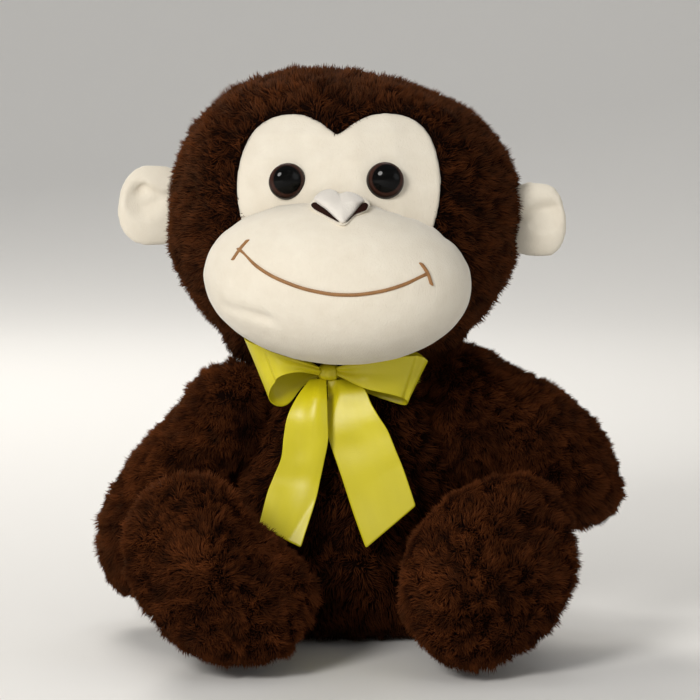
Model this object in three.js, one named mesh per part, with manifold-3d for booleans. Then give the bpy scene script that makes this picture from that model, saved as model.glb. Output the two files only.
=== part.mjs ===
// Plush monkey, sitting, with a ribbon bow. Millimetres, +Z up, the monkey faces -Y.
// The origin is the middle of the flat seat that it sits on.
import * as THREE from 'three';
import Module from 'manifold-3d';

const wasm = await Module();
wasm.setup();

// Clearances
const seamGap = 0.35; // between two sewn pieces
const fillGap = 0.7; // between a skin and its stuffing
const jointGap = 0.8; // between a limb's round root and its socket
const restGap = 0.3; // between a piece and what it lies on

// Fabrics, each with its pile
const plushWall = 6;
const velboaWall = 3;
const facePile = 2; // the face lies this much lower than the long pile round it
const ribbonWidth = 25;
const ribbonThickness = 0.9;

// Torso
const torsoHeight = 129;
const seatCut = 0.5;
const seatRadius = 60;
const bellyRadius = 67;
const waistRadius = 65;
const ribRadius = 57;
const chestRadius = 51;
const collarRadius = 45;
const torsoDepthRatio = 0.86;
const bellyLean = 4;
const pelletBagHeight = 24;

// Head and neck
const neckBallRadius = 24.5;
const neckHeight = torsoHeight + 2;
const headBottom = torsoHeight - 5;
const headHeight = 146;
const headHalfWidth = 85;
const headDepthRatio = 0.83;
const headOpeningRise = 12; // the head is open this far above its lowest point
const headShiftBack = 4;
const headYaw = THREE.MathUtils.degToRad(-5);
const headRoll = THREE.MathUtils.degToRad(-0.6);

// Face panel, a heart standing on the muzzle
const faceLobeRise = 51.5;
const faceNotchRise = 42;
const faceHalfWidth = 47.5;
const faceLobeOffset = 21;
const faceBottomRise = -4;
const faceSideRise = 27;

// Muzzle
const muzzleHalfWidth = 62.5;
const muzzleHalfHeight = 39;
const muzzleDepth = 46;
const muzzleRise = 48.7; // of its middle, above the head's underside
const muzzleHeight = headBottom + muzzleRise;
const muzzleForward = 58;
const muzzleRoll = THREE.MathUtils.degToRad(4);
const muzzleSquareness = 2.3;

// Nose
const noseHalfWidth = 13.5;
const noseHalfHeight = 7.6;
const noseHalfDepth = 12;
const noseRise = 84.8;
const noseHeight = headBottom + noseRise;
const noseForward = 77;
const noseSide = 3; // off the middle of the face, as sewn
const nostrilRadius = 2.6;

// Smile thread
const smileHalfWidth = 42;
const smileDrop = 14;
const smileRise = 11.3; // of its ends above the muzzle's middle
const smileTilt = THREE.MathUtils.degToRad(3);
const smileBar = 11;
const threadRadius = 0.9;

// Safety eyes
const eyeRadius = 8.5;
const eyeDome = 6.2;
const eyeSpacing = 44.5;
const eyeRise = 94.2;
const eyeHeight = headBottom + eyeRise;
const shankRadius = 2.2;
const shankLength = 14;
const washerRadius = 7.5;
const washerThickness = 2;

// Ears. The right one is turned back a little, so it looks shorter and sits lower
const earLength = 34;
const rightEarLength = 26;
const earMidHeight = 40;
const rightEarMidHeight = 36.5;
const earThickness = 11;
const earRise = 76.5;
const rightEarRise = 70.5;
const earLift = THREE.MathUtils.degToRad(9);
const rightEarLift = THREE.MathUtils.degToRad(5);
const earSink = 7; // the ear's root lies this deep in the pile
const earDimple = 2.6;

// Arms
const shoulderHalfSpan = 51;
const shoulderDrop = 26; // below the top of the torso
const shoulderHeight = torsoHeight - shoulderDrop;
const armRootRadius = 19;
const shoulderRadius = 26.5;
const rightShoulderRadius = 28.5; // the right arm rests on its leg, which pushes it up and out
const armMidRadius = 27.5;
const handRadius = 27.5;
const armLength = 89; // the places along an arm are shares of this

// Legs
const hipHalfSpan = 47;
const hipHeight = 32;
const hipForward = 34;
const legRootRadius = 27;
const shinRadius = 29;
const legRise = 1.6; // the shin's underside above the floor
const ankleRadius = 32;
const footHalfWidth = 39;
const footHalfLength = 56.5;
const footSplay = 12.5; // how much further out the foot is than the hip
const footLean = THREE.MathUtils.degToRad(50);
const rightFootHalfWidth = 37.5;
const rightFootHalfLength = 52;
const rightFootSplay = 17;
const rightFootLean = THREE.MathUtils.degToRad(38);
const footMiddle = 50.2; // height of its middle
const legLength = 87;
const heelRadius = 44;
const footFullness = 9; // added to its half length, because the rings of its blunt end reach less
const soleThickness = 14;

// Tail
const tailRadius = 9;
const tailRootRadius = 12;
const tailRootHeight = 18;
const tailBehind = 48;

// Bow
const bandTop = torsoHeight - 2.5;
const bandHeight = 6.5;
const knotHalfWidth = 5.5;
const knotHalfHeight = 4.6;
const knotHalfDepth = 6;
const knotSide = -9.5;
const knotHeight = bandTop - 1;
const loopReach = 37;
const loopDepth = 13;
const ribbonGather = 9; // the ribbon's width where the knot gathers it
const tailDrop = 66;
const ribbonStandOff = 1.6;

// Angles that the joints turn through, used where one piece makes room for another
const armSweep = THREE.MathUtils.degToRad(40);
const legSweep = THREE.MathUtils.degToRad(15);
const tailSweep = THREE.MathUtils.degToRad(20);
const earSweep = THREE.MathUtils.degToRad(20);

const UP = new THREE.Vector3(0, 0, 1);
const RIGHT = new THREE.Vector3(1, 0, 0);
const FORWARD = new THREE.Vector3(0, -1, 0);
const FAR = 400; // larger than the monkey, for cutting blocks

// Materials
function cloth(color, roughness) {
  return new THREE.MeshStandardMaterial({ color, roughness, metalness: 0 });
}
const brownPlush = cloth(0x3b2113, 0.95);
const creamVelboa = cloth(0xf1e9d8, 0.85);
const whiteNose = cloth(0xf7f3ea, 0.6);
const polyesterFill = cloth(0xf4f4f0, 1);
const pelletCloth = cloth(0xd9d4c6, 0.9);
const brownThread = cloth(0x8a5a2c, 0.6);
const limeSatin = cloth(0xd9de4a, 0.35);
const eyePlastic = cloth(0x0b0705, 0.08);
const washerPlastic = cloth(0xe6e6e6, 0.5);

// Closed skin through rings of points, with one point at each end
function skinOfRings(rings, firstPole, lastPole) {
  const sides = rings[0].length;
  const points = [firstPole, ...rings.flat(), lastPole];
  const index = [];
  const at = (ring, side) => 1 + ring * sides + (side % sides);
  const last = points.length - 1;
  for (let side = 0; side < sides; side++) {
    index.push(0, at(0, side + 1), at(0, side));
    for (let ring = 0; ring < rings.length - 1; ring++) {
      index.push(at(ring, side), at(ring, side + 1), at(ring + 1, side + 1));
      index.push(at(ring, side), at(ring + 1, side + 1), at(ring + 1, side));
    }
    index.push(last, at(rings.length - 1, side), at(rings.length - 1, side + 1));
  }
  const geometry = new THREE.BufferGeometry();
  const values = points.flatMap((p) => [p.x, p.y, p.z]);
  geometry.setAttribute('position', new THREE.Float32BufferAttribute(values, 3));
  geometry.setIndex(index);
  return geometry;
}

// Value of a smooth curve through evenly spaced values, at t from 0 to 1
function through(values, t) {
  const knots = values.map((value, i) => new THREE.Vector2(i, value));
  return new THREE.SplineCurve(knots).getPoint(t).y;
}

// Superellipse: 1 in the middle of a length and 0 at its ends, fuller with a larger power
function fullness(t, power) {
  return Math.pow(Math.max(0, 1 - Math.pow(Math.abs(2 * t - 1), power)), 1 / power);
}

// Stuffed form: oval rings on a spine that swell and taper through the given radii.
// A larger end power gives a blunter end. The first radius is at the spine's start.
function stuffedForm(shape) {
  const { spine, radii, across, wide = 1, deep = 1, startPower = 2, endPower = 2, sides, steps } = shape;
  const widthAt = (t) => (Array.isArray(wide) ? through(wide, t) : wide);
  const curve = new THREE.CatmullRomCurve3(spine);
  const rings = [];
  for (let step = 1; step < steps; step++) {
    const turn = (Math.PI * step) / steps;
    const power = turn < Math.PI / 2 ? startPower : endPower;
    const half = Math.sign(Math.cos(turn)) * Math.pow(Math.abs(Math.cos(turn)), 2 / power);
    const t = (1 - half) / 2;
    const radius = through(radii, t) * fullness(t, power);
    const centre = curve.getPointAt(t);
    const along = curve.getTangentAt(t);
    const side = across.clone().addScaledVector(along, -across.dot(along)).normalize();
    const other = along.clone().cross(side);
    rings.push(
      Array.from({ length: sides }, (_, i) => {
        const angle = (2 * Math.PI * i) / sides;
        return centre
          .clone()
          .addScaledVector(side, radius * widthAt(t) * Math.cos(angle))
          .addScaledVector(other, radius * deep * Math.sin(angle));
      })
    );
  }
  return skinOfRings(rings, curve.getPointAt(0), curve.getPointAt(1));
}

// The same skin moved outwards by a distance, or inwards by a negative one
function grown(geometry, distance) {
  const copy = geometry.clone();
  copy.computeVertexNormals();
  const position = copy.getAttribute('position');
  const normal = copy.getAttribute('normal');
  for (let i = 0; i < position.count; i++) {
    position.setXYZ(
      i,
      position.getX(i) + distance * normal.getX(i),
      position.getY(i) + distance * normal.getY(i),
      position.getZ(i) + distance * normal.getZ(i)
    );
  }
  copy.deleteAttribute('normal');
  return copy;
}

// Three.js geometry as a solid that can be cut and joined
function solidOf(geometry) {
  const vertProperties = Float32Array.from(geometry.getAttribute('position').array);
  const triVerts = Uint32Array.from(geometry.getIndex().array);
  return new wasm.Manifold(new wasm.Mesh({ numProp: 3, vertProperties, triVerts }));
}

function geometryOf(solid) {
  const mesh = solid.getMesh();
  const geometry = new THREE.BufferGeometry();
  geometry.setAttribute('position', new THREE.Float32BufferAttribute(mesh.vertProperties, 3));
  geometry.setIndex(Array.from(mesh.triVerts));
  geometry.computeVertexNormals();
  return geometry;
}

// The main piece of a solid that a cut has left slivers of
function mainPiece(solid) {
  return solid.decompose().reduce((most, piece) => (piece.volume() > most.volume() ? piece : most));
}

function meshOf(name, solid, material) {
  const mesh = new THREE.Mesh(geometryOf(solid), material);
  mesh.name = name;
  return mesh;
}

// Round solids, as forms on a straight spine
function oval(centre, halfX, halfY, halfZ, sides = 16, steps = 10, power = 2) {
  const low = centre.clone().addScaledVector(UP, -halfZ);
  const high = centre.clone().addScaledVector(UP, halfZ);
  return stuffedForm({
    spine: [low, high],
    radii: [1, 1],
    across: RIGHT,
    wide: halfX,
    deep: halfY,
    startPower: power,
    endPower: power,
    sides,
    steps,
  });
}

function ball(centre, radius, sides = 16, steps = 10) {
  return oval(centre, radius, radius, radius, sides, steps);
}

function rod(from, to, radius, sides = 12) {
  const along = to.clone().sub(from).normalize();
  const side = Math.abs(along.z) > 0.9 ? RIGHT.clone() : UP.clone();
  side.addScaledVector(along, -side.dot(along)).normalize();
  const other = along.clone().cross(side);
  const ringAt = (centre) =>
    Array.from({ length: sides }, (_, i) => {
      const angle = (2 * Math.PI * i) / sides;
      return centre
        .clone()
        .addScaledVector(side, radius * Math.cos(angle))
        .addScaledVector(other, radius * Math.sin(angle));
    });
  return skinOfRings([ringAt(from), ringAt(to)], from, to);
}

// Everything beyond a plane, and everything below or above a height
function beyond(point, direction) {
  const far = point.clone().addScaledVector(direction, FAR);
  return solidOf(rod(point, far, FAR, 8));
}

const below = (height) => beyond(new THREE.Vector3(0, 0, height), UP.clone().negate());
const above = (height) => beyond(new THREE.Vector3(0, 0, height), UP);

// A form turned about an axis through a pivot
function turned(geometry, pivot, axis, angle) {
  const matrix = new THREE.Matrix4()
    .makeTranslation(pivot.x, pivot.y, pivot.z)
    .multiply(new THREE.Matrix4().makeRotationAxis(axis, angle))
    .multiply(new THREE.Matrix4().makeTranslation(-pivot.x, -pivot.y, -pivot.z));
  return geometry.clone().applyMatrix4(matrix);
}

// Room that a body takes up, seen from a piece that turns on it through the given angles
function sweptRoom(geometry, pivot, axis, angles) {
  return angles
    .map((angle) => solidOf(turned(geometry, pivot, axis, -angle)))
    .reduce((room, solid) => room.add(solid));
}

// Torso. Outsides are finer than the walls' insides and the stuffing, which nobody sees
function torsoForm(inside = false) {
  return stuffedForm({
    spine: [
      new THREE.Vector3(0, bellyLean, -seatCut),
      new THREE.Vector3(0, -bellyLean, torsoHeight * 0.35),
      new THREE.Vector3(0, 0, torsoHeight * 0.7),
      new THREE.Vector3(0, 2, torsoHeight),
    ],
    radii: [seatRadius, bellyRadius, waistRadius, ribRadius, chestRadius, collarRadius],
    across: RIGHT,
    deep: torsoDepthRatio,
    startPower: 5,
    endPower: 5,
    sides: inside ? 10 : 20,
    steps: inside ? 8 : 13,
  });
}

const torsoOuter = torsoForm();
const torsoInside = torsoForm(true);
const floor = below(0);

// Distance forward of the torso's skin at a place, found on its rings
function frontOfTorso(x, z) {
  const ray = new THREE.Raycaster(new THREE.Vector3(x, -FAR, z), new THREE.Vector3(0, 1, 0));
  const hit = ray.intersectObject(new THREE.Mesh(torsoOuter, brownPlush))[0];
  return hit ? -hit.point.y : 0;
}

// The torso's collar at the ribbon's height, grown by a distance and let past the ribbon's edges
function roundCollar(distance, past) {
  return solidOf(grown(torsoOuter, distance))
    .subtract(below(bandTop - bandHeight - past))
    .subtract(above(bandTop + past));
}

// Limbs: a form that leaves the torso from a round root, which sits in a socket
function limbSolid(limb, shrink) {
  const inside = shrink > 0;
  const root = solidOf(ball(limb.pivot, limb.rootRadius - shrink, inside ? 8 : 16, inside ? 6 : 10));
  const torso = grown(inside ? torsoInside : torsoOuter, jointGap + shrink);
  const collar = geometryOf(roundCollar(ribbonThickness + restGap + jointGap + shrink, jointGap + shrink));
  const room = [torso, collar]
    .map((geometry) => sweptRoom(geometry, limb.pivot, limb.axis, limb.angles))
    .reduce((all, solid) => all.add(solid));
  return mainPiece(solidOf(grown(limb.form(inside), -shrink)).subtract(room).add(root));
}

function rootOpening(limb) {
  const inward = limb.inward.clone().normalize();
  const start = limb.pivot.clone();
  const end = start.clone().addScaledVector(inward, limb.rootRadius * 1.5);
  return solidOf(rod(start, end, limb.rootRadius * 0.5, 8));
}

function armLimb(side, radius, places) {
  const pivot = new THREE.Vector3(side * shoulderHalfSpan, 2, shoulderHeight);
  const reach = places.map(([x, y, z]) => new THREE.Vector3(x, y, z).multiplyScalar(armLength));
  return {
    pivot,
    rootRadius: armRootRadius,
    axis: new THREE.Vector3(0, -side, 0),
    angles: [0, armSweep / 2, armSweep],
    inward: new THREE.Vector3(-side, 0, 0),
    form: (inside) =>
      stuffedForm({
        spine: [pivot, ...reach.map((offset) => pivot.clone().add(offset))],
        radii: [radius, (radius + armMidRadius) / 2, armMidRadius, handRadius, handRadius],
        across: FORWARD,
        startPower: 6,
        endPower: 2.6,
        sides: inside ? 8 : 14,
        steps: inside ? 7 : 12,
      }),
  };
}

function legLimb(side, foot) {
  const pivot = new THREE.Vector3(side * hipHalfSpan, -hipForward, hipHeight);
  const toes = new THREE.Vector3(side * (hipHalfSpan + foot.splay), -hipForward - legLength, footMiddle);
  const shin = pivot.clone().lerp(toes, 0.45);
  shin.z = shinRadius + legRise;
  const heel = shin.clone().lerp(toes, 0.6);
  return {
    pivot,
    toes,
    rootRadius: legRootRadius,
    axis: new THREE.Vector3(0, 0, -side),
    angles: [0, legSweep],
    inward: new THREE.Vector3(-side * 0.7, 1, 0.2),
    form: (inside) =>
      stuffedForm({
        spine: [pivot, shin, heel, toes],
        radii: [
          legRootRadius,
          shinRadius,
          shinRadius,
          ankleRadius,
          heelRadius,
          foot.halfLength + footFullness,
        ],
        across: new THREE.Vector3(Math.cos(foot.lean), 0, -side * Math.sin(foot.lean)),
        wide: [1, 1, 1, 0.92, 0.8, foot.halfWidth / foot.halfLength],
        startPower: 6,
        endPower: 5.5,
        sides: inside ? 10 : 18,
        steps: inside ? 8 : 14,
      }),
  };
}

function tailLimb() {
  const pivot = new THREE.Vector3(0, tailBehind, tailRootHeight);
  const lie = tailRadius + restGap;
  return {
    pivot,
    rootRadius: tailRootRadius,
    axis: UP,
    angles: [-tailSweep, 0, tailSweep],
    inward: new THREE.Vector3(0, -1, 0.3),
    form: (inside) =>
      stuffedForm({
        spine: [
          pivot,
          new THREE.Vector3(6, tailBehind + 26, lie + 3),
          new THREE.Vector3(26, tailBehind + 44, lie),
          new THREE.Vector3(54, tailBehind + 46, lie),
          new THREE.Vector3(78, tailBehind + 34, lie),
        ],
        radii: [tailRootRadius * 0.95, tailRadius, tailRadius, tailRadius, tailRadius],
        across: UP,
        startPower: 6,
        endPower: 3,
        sides: inside ? 6 : 10,
        steps: inside ? 8 : 14,
      }),
  };
}

const arms = {
  left: armLimb(-1, shoulderRadius, [
    [-0.19, -0.02, -0.19],
    [-0.42, -0.045, -0.48],
    [-0.525, -0.055, -0.73],
    [-0.54, -0.07, -1],
  ]),
  right: armLimb(1, rightShoulderRadius, [
    [0.23, -0.06, -0.01],
    [0.47, -0.145, -0.165],
    [0.62, -0.235, -0.38],
    [0.73, -0.315, -0.6],
  ]),
};
const legs = {
  left: legLimb(-1, {
    halfWidth: footHalfWidth,
    halfLength: footHalfLength,
    splay: footSplay,
    lean: footLean,
  }),
  right: legLimb(1, {
    halfWidth: rightFootHalfWidth,
    halfLength: rightFootHalfLength,
    splay: rightFootSplay,
    lean: rightFootLean,
  }),
};
const tail = tailLimb();

function limbShell(limb, wall) {
  const shell = limbSolid(limb, 0).subtract(limbSolid(limb, wall)).subtract(rootOpening(limb));
  return mainPiece(shell.subtract(floor));
}

function addLimb(group, name, limb, fill) {
  const wall = Math.min(plushWall, limb.rootRadius / 3);
  const stuffing = limbSolid(limb, wall + fillGap);
  group.add(meshOf(`${name}_skin`, limbShell(limb, wall), brownPlush));
  group.add(meshOf(`${name}_stuffing`, stuffing, fill));
}

// A leg's skin ends at the seam round its sole, and the sole closes it
function addLeg(group, name, limb) {
  const shell = limbShell(limb, plushWall);
  const along = limb.toes.clone().sub(limb.pivot).setZ(0).normalize();
  const seam = limb.toes.clone().addScaledVector(along, -soleThickness);
  const pastSeam = beyond(seam, along);
  const fromSeam = beyond(seam.clone().addScaledVector(along, seamGap), along);
  group.add(meshOf(`${name}_skin`, shell.subtract(pastSeam), brownPlush));
  group.add(meshOf(`${name}_sole`, shell.intersect(fromSeam), brownPlush));
  group.add(meshOf(`${name}_stuffing`, limbSolid(limb, plushWall + fillGap), polyesterFill));
}

// Torso with sockets for the limbs and the neck
const neckPivot = new THREE.Vector3(0, 2, neckHeight);
const neckBall = (gap) => solidOf(ball(neckPivot, neckBallRadius + gap, 20, 12));
const sockets = [arms.left, arms.right, legs.left, legs.right, tail]
  .map((limb) => solidOf(ball(limb.pivot, limb.rootRadius + jointGap)))
  .concat(neckBall(jointGap))
  .reduce((all, solid) => all.add(solid));

function addTorso(group) {
  const inner = solidOf(grown(torsoInside, -plushWall));
  const filling = solidOf(grown(torsoInside, -plushWall - fillGap)).subtract(sockets);
  const skin = solidOf(torsoOuter).subtract(inner).subtract(sockets).subtract(floor);
  const bagTop = plushWall + pelletBagHeight;
  group.add(meshOf('torso_skin', skin, brownPlush));
  group.add(meshOf('torso_stuffing', filling.subtract(below(bagTop)), polyesterFill));
  group.add(meshOf('seat_pellet_bag', filling.subtract(above(bagTop - seamGap)), pelletCloth));
  group.add(meshOf('neck_stuffing', neckBall(0), polyesterFill));
}

// Head, in its own frame before it is turned
const headTop = headBottom + headHeight;
const headMiddle = headBottom + headHeight / 2;
const headPower = 2.3;

function headForm(inside = false) {
  const back = headShiftBack;
  return stuffedForm({
    spine: [new THREE.Vector3(0, back, headBottom), new THREE.Vector3(0, back, headTop)],
    radii: [headHalfWidth * 0.9, headHalfWidth * 0.99, headHalfWidth, headHalfWidth * 0.97],
    across: RIGHT,
    deep: headDepthRatio,
    startPower: headPower,
    endPower: headPower,
    sides: inside ? 14 : 26,
    steps: inside ? 10 : 16,
  });
}
const headOuter = headForm();
const headInside = headForm(true);
const muzzleMiddle = new THREE.Vector3(0, -muzzleForward, muzzleHeight);

function muzzleForm(inside = false) {
  const back = new THREE.Vector3(0, -muzzleForward + muzzleDepth, muzzleHeight);
  const front = new THREE.Vector3(0, -muzzleForward - muzzleDepth, muzzleHeight);
  const form = stuffedForm({
    spine: [back, front],
    radii: [1, 1],
    across: RIGHT,
    wide: muzzleHalfWidth,
    deep: muzzleHalfHeight,
    startPower: muzzleSquareness,
    endPower: muzzleSquareness,
    sides: inside ? 14 : 24,
    steps: inside ? 8 : 14,
  });
  return turned(form, muzzleMiddle, new THREE.Vector3(0, 1, 0), muzzleRoll);
}
const muzzleOuter = muzzleForm();
const muzzleInside = muzzleForm(true);

// Foremost point of a form over a place on the face
function onForm(geometry, x, z) {
  const ray = new THREE.Raycaster(new THREE.Vector3(x, -FAR, z), new THREE.Vector3(0, 1, 0));
  const hit = ray.intersectObject(new THREE.Mesh(geometry, brownPlush))[0];
  return hit.point;
}

// Heart-shaped outline of the face panel, as a prism through the front of the head
function faceOutline(margin) {
  const side = faceHalfWidth + margin;
  const lobe = faceLobeRise + margin;
  const notch = faceNotchRise + margin;
  const bottom = faceBottomRise - margin;
  const inner = faceLobeOffset;
  const shape = new THREE.Shape();
  shape.moveTo(-side * 0.9, bottom);
  shape.lineTo(side * 0.9, bottom);
  shape.bezierCurveTo(side, bottom + 12, side * 1.01, faceSideRise - 6, side * 0.98, faceSideRise);
  shape.bezierCurveTo(side * 0.92, lobe * 0.88, inner + 13, lobe, inner, lobe);
  shape.bezierCurveTo(inner - 11, lobe, 5, notch + 3, 0, notch);
  shape.bezierCurveTo(-5, notch + 3, -inner + 11, lobe, -inner, lobe);
  shape.bezierCurveTo(-inner - 13, lobe, -side * 0.92, lobe * 0.88, -side * 0.98, faceSideRise);
  shape.bezierCurveTo(-side * 1.01, faceSideRise - 6, -side, bottom + 12, -side * 0.9, bottom);
  return shape.getPoints(7);
}

function faceWindow(margin) {
  const outline = faceOutline(margin);
  outline.pop();
  const ringAt = (y) => outline.map((p) => new THREE.Vector3(p.x, y, headMiddle + p.y));
  const middle = (y) => new THREE.Vector3(0, y, headMiddle + faceNotchRise / 2);
  return solidOf(skinOfRings([ringAt(0), ringAt(-FAR / 2)], middle(0), middle(-FAR / 2)));
}

// Safety eyes, each on its own axis square to the face
function eyeFrame(side) {
  const x = (side * eyeSpacing) / 2;
  const face = grown(headOuter, -facePile);
  const seat = onForm(face, x, eyeHeight);
  const acrossFace = onForm(face, x + eyeRadius, eyeHeight).sub(onForm(face, x - eyeRadius, eyeHeight));
  const upFace = onForm(face, x, eyeHeight + eyeRadius).sub(onForm(face, x, eyeHeight - eyeRadius));
  return { seat, out: acrossFace.cross(upFace).normalize() };
}

function eyeSolid({ seat, out }) {
  const base = seat.clone().addScaledVector(out, 2 * restGap);
  const pole = base.clone().addScaledVector(out, eyeDome);
  const side = UP.clone().addScaledVector(out, -UP.dot(out)).normalize();
  const other = out.clone().cross(side);
  const rings = [0, 1, 2, 3, 4].map((step) => {
    const turn = (Math.PI / 2) * (step / 5);
    const centre = base.clone().addScaledVector(out, eyeDome * Math.sin(turn));
    const radius = eyeRadius * Math.cos(turn);
    return Array.from({ length: 20 }, (_, i) => {
      const angle = (2 * Math.PI * i) / 20;
      return centre
        .clone()
        .addScaledVector(side, radius * Math.cos(angle))
        .addScaledVector(other, radius * Math.sin(angle));
    });
  });
  const dome = solidOf(skinOfRings(rings, base, pole));
  const shankEnd = base.clone().addScaledVector(out, -shankLength);
  return dome.add(solidOf(rod(base.clone().addScaledVector(out, 1), shankEnd, shankRadius)));
}

function eyeWasher({ seat, out }) {
  const front = seat.clone().addScaledVector(out, -velboaWall - 2 * restGap);
  const back = front.clone().addScaledVector(out, -washerThickness);
  const hole = rod(
    front.clone().addScaledVector(out, 1),
    back.clone().addScaledVector(out, -1),
    shankRadius + restGap
  );
  return solidOf(rod(front, back, washerRadius, 14)).subtract(solidOf(hole));
}

function eyeRoom({ seat, out }) {
  const front = seat.clone().addScaledVector(out, 3);
  const end = seat.clone().addScaledVector(out, -shankLength - 1);
  const behindPanel = seat.clone().addScaledVector(out, -velboaWall + 1);
  const washerEnd = seat.clone().addScaledVector(out, -velboaWall - washerThickness - 3 * restGap);
  return solidOf(rod(front, end, shankRadius + restGap)).add(
    solidOf(rod(behindPanel, washerEnd, washerRadius + seamGap, 14))
  );
}

const eyes = { left: eyeFrame(-1), right: eyeFrame(1) };

function addHeadShell(group) {
  const opening = below(headBottom + headOpeningRise);
  const neckSocket = neckBall(jointGap);
  const inner = solidOf(grown(headInside, -plushWall));
  const shell = solidOf(headOuter).subtract(inner).subtract(opening).subtract(neckSocket);
  const velboaOuter = solidOf(grown(headOuter, -facePile));
  const velboa = velboaOuter.subtract(solidOf(grown(headOuter, -facePile - velboaWall)));
  const filling = solidOf(grown(headInside, -plushWall - fillGap)).subtract(opening).subtract(neckSocket);
  const leftHole = solidOf(rod(...shankHole(eyes.left)));
  const rightHole = solidOf(rod(...shankHole(eyes.right)));
  const panel = velboa.intersect(faceWindow(0)).subtract(leftHole).subtract(rightHole);
  const stuffed = filling.subtract(eyeRoom(eyes.left)).subtract(eyeRoom(eyes.right));
  group.add(meshOf('head_skin', shell.subtract(faceWindow(seamGap)), brownPlush));
  group.add(meshOf('face_panel', panel, creamVelboa));
  group.add(meshOf('head_stuffing', stuffed, polyesterFill));
}

function shankHole({ seat, out }) {
  const front = seat.clone().addScaledVector(out, 4);
  const back = seat.clone().addScaledVector(out, -plushWall - 2);
  return [front, back, shankRadius + restGap];
}

function addMuzzle(group) {
  const head = solidOf(grown(headOuter, seamGap));
  const outer = solidOf(muzzleOuter);
  const inner = solidOf(grown(muzzleInside, -velboaWall));
  const filling = solidOf(grown(muzzleInside, -velboaWall - fillGap));
  group.add(meshOf('muzzle_skin', outer.subtract(inner).subtract(head), creamVelboa));
  group.add(meshOf('muzzle_stuffing', filling.subtract(head), polyesterFill));
}

// Nose: a small cushion in the corner between face and muzzle, with two nostril hollows
function addNose(group) {
  const centre = new THREE.Vector3(noseSide, -noseForward, noseHeight);
  const cushion = oval(centre, noseHalfWidth, noseHalfDepth, noseHalfHeight, 16, 9, 2.4);
  const nostrils = [-1, 1].map((side) => {
    const place = centre.clone().add(new THREE.Vector3(side * noseHalfWidth * 0.6, -noseHalfDepth * 0.85, 0));
    return solidOf(oval(place, nostrilRadius * 1.4, nostrilRadius, nostrilRadius * 0.7, 8, 5));
  });
  const solid = solidOf(cushion)
    .subtract(solidOf(grown(muzzleOuter, restGap)))
    .subtract(solidOf(grown(headOuter, restGap)))
    .subtract(nostrils[0])
    .subtract(nostrils[1]);
  group.add(meshOf('nose', solid, whiteNose));
}

// Smile: one embroidered arc and a short bar across each end, lying on the muzzle
function threadAlong(places) {
  const points = places.map(([x, z]) => {
    const point = onForm(muzzleOuter, x, z);
    const out = point.clone().sub(muzzleMiddle).normalize();
    return point.addScaledVector(out, threadRadius * 0.7);
  });
  const curve = new THREE.CatmullRomCurve3(points);
  const steps = places.length + 1;
  const rings = Array.from({ length: steps + 1 }, (_, step) => {
    const centre = curve.getPointAt(step / steps);
    const along = curve.getTangentAt(step / steps);
    const side = FORWARD.clone().addScaledVector(along, -FORWARD.dot(along)).normalize();
    const other = along.clone().cross(side);
    return Array.from({ length: 5 }, (_, i) => {
      const angle = (2 * Math.PI * i) / 5;
      return centre
        .clone()
        .addScaledVector(side, threadRadius * Math.cos(angle))
        .addScaledVector(other, threadRadius * Math.sin(angle));
    });
  });
  return solidOf(skinOfRings(rings, curve.getPointAt(0), curve.getPointAt(1)));
}

function smilePlace(share, lift) {
  const tilt = muzzleRoll + smileTilt;
  const x = share * smileHalfWidth;
  const z = smileRise - smileDrop * (1 - share * share) + lift;
  return [x * Math.cos(tilt) + z * Math.sin(tilt), muzzleHeight + z * Math.cos(tilt) - x * Math.sin(tilt)];
}

function smileBarPlaces(side) {
  const lean = 0.5 * side;
  return [-0.5, 0, 0.5].map((share) => {
    const [x, z] = smilePlace(side, 0);
    return [x - share * smileBar * lean, z + share * smileBar * Math.cos(lean)];
  });
}

function addSmile(group) {
  const shares = [-1, -0.8, -0.6, -0.4, -0.2, 0, 0.2, 0.4, 0.6, 0.8, 1];
  const arc = threadAlong(shares.map((share) => smilePlace(share, 0)));
  const left = threadAlong(smileBarPlaces(-1));
  const right = threadAlong(smileBarPlaces(1));
  const cloth = solidOf(grown(muzzleOuter, restGap));
  group.add(meshOf('smile_stitching', arc.add(left).add(right).subtract(cloth), brownThread));
}

// Ears: two panels sewn round their edge, with a shallow hollow in the front one
function earForm({ side, length, midHeight, height, lift }) {
  const reach = headHalfWidth - earSink;
  const root = new THREE.Vector3(side * reach, 6, height);
  const along = new THREE.Vector3(side * length * Math.cos(lift), -2, length * Math.sin(lift));
  const tip = root.clone().add(along);
  return stuffedForm({
    spine: [root, tip],
    radii: [midHeight * 0.4, midHeight / 2, midHeight / 2],
    across: UP,
    deep: earThickness / midHeight,
    startPower: 6,
    endPower: 2.4,
    sides: 16,
    steps: 10,
  });
}

function addEar(group, name, ear) {
  const form = earForm(ear);
  const pivot = new THREE.Vector3(ear.side * headHalfWidth, 5, ear.height);
  const room = sweptRoom(grown(headOuter, seamGap), pivot, UP, [-earSweep, 0, earSweep]);
  const whole = mainPiece(solidOf(form).subtract(room));
  const middle = 5;
  const frontHalf = beyond(new THREE.Vector3(0, middle - seamGap / 2, headMiddle), FORWARD);
  const backHalf = beyond(new THREE.Vector3(0, middle + seamGap / 2, headMiddle), FORWARD.clone().negate());
  const hollowAt = new THREE.Vector3(
    ear.side * (headHalfWidth + ear.length * 0.42),
    middle - earThickness / 2 - earDimple * 0.6,
    ear.height + ear.length * 0.16
  );
  const hollow = solidOf(oval(hollowAt, ear.length * 0.3, earDimple * 2, ear.midHeight * 0.27, 14, 8));
  group.add(meshOf(`${name}_front`, whole.intersect(frontHalf).subtract(hollow), creamVelboa));
  group.add(meshOf(`${name}_back`, whole.intersect(backHalf), creamVelboa));
}

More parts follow.
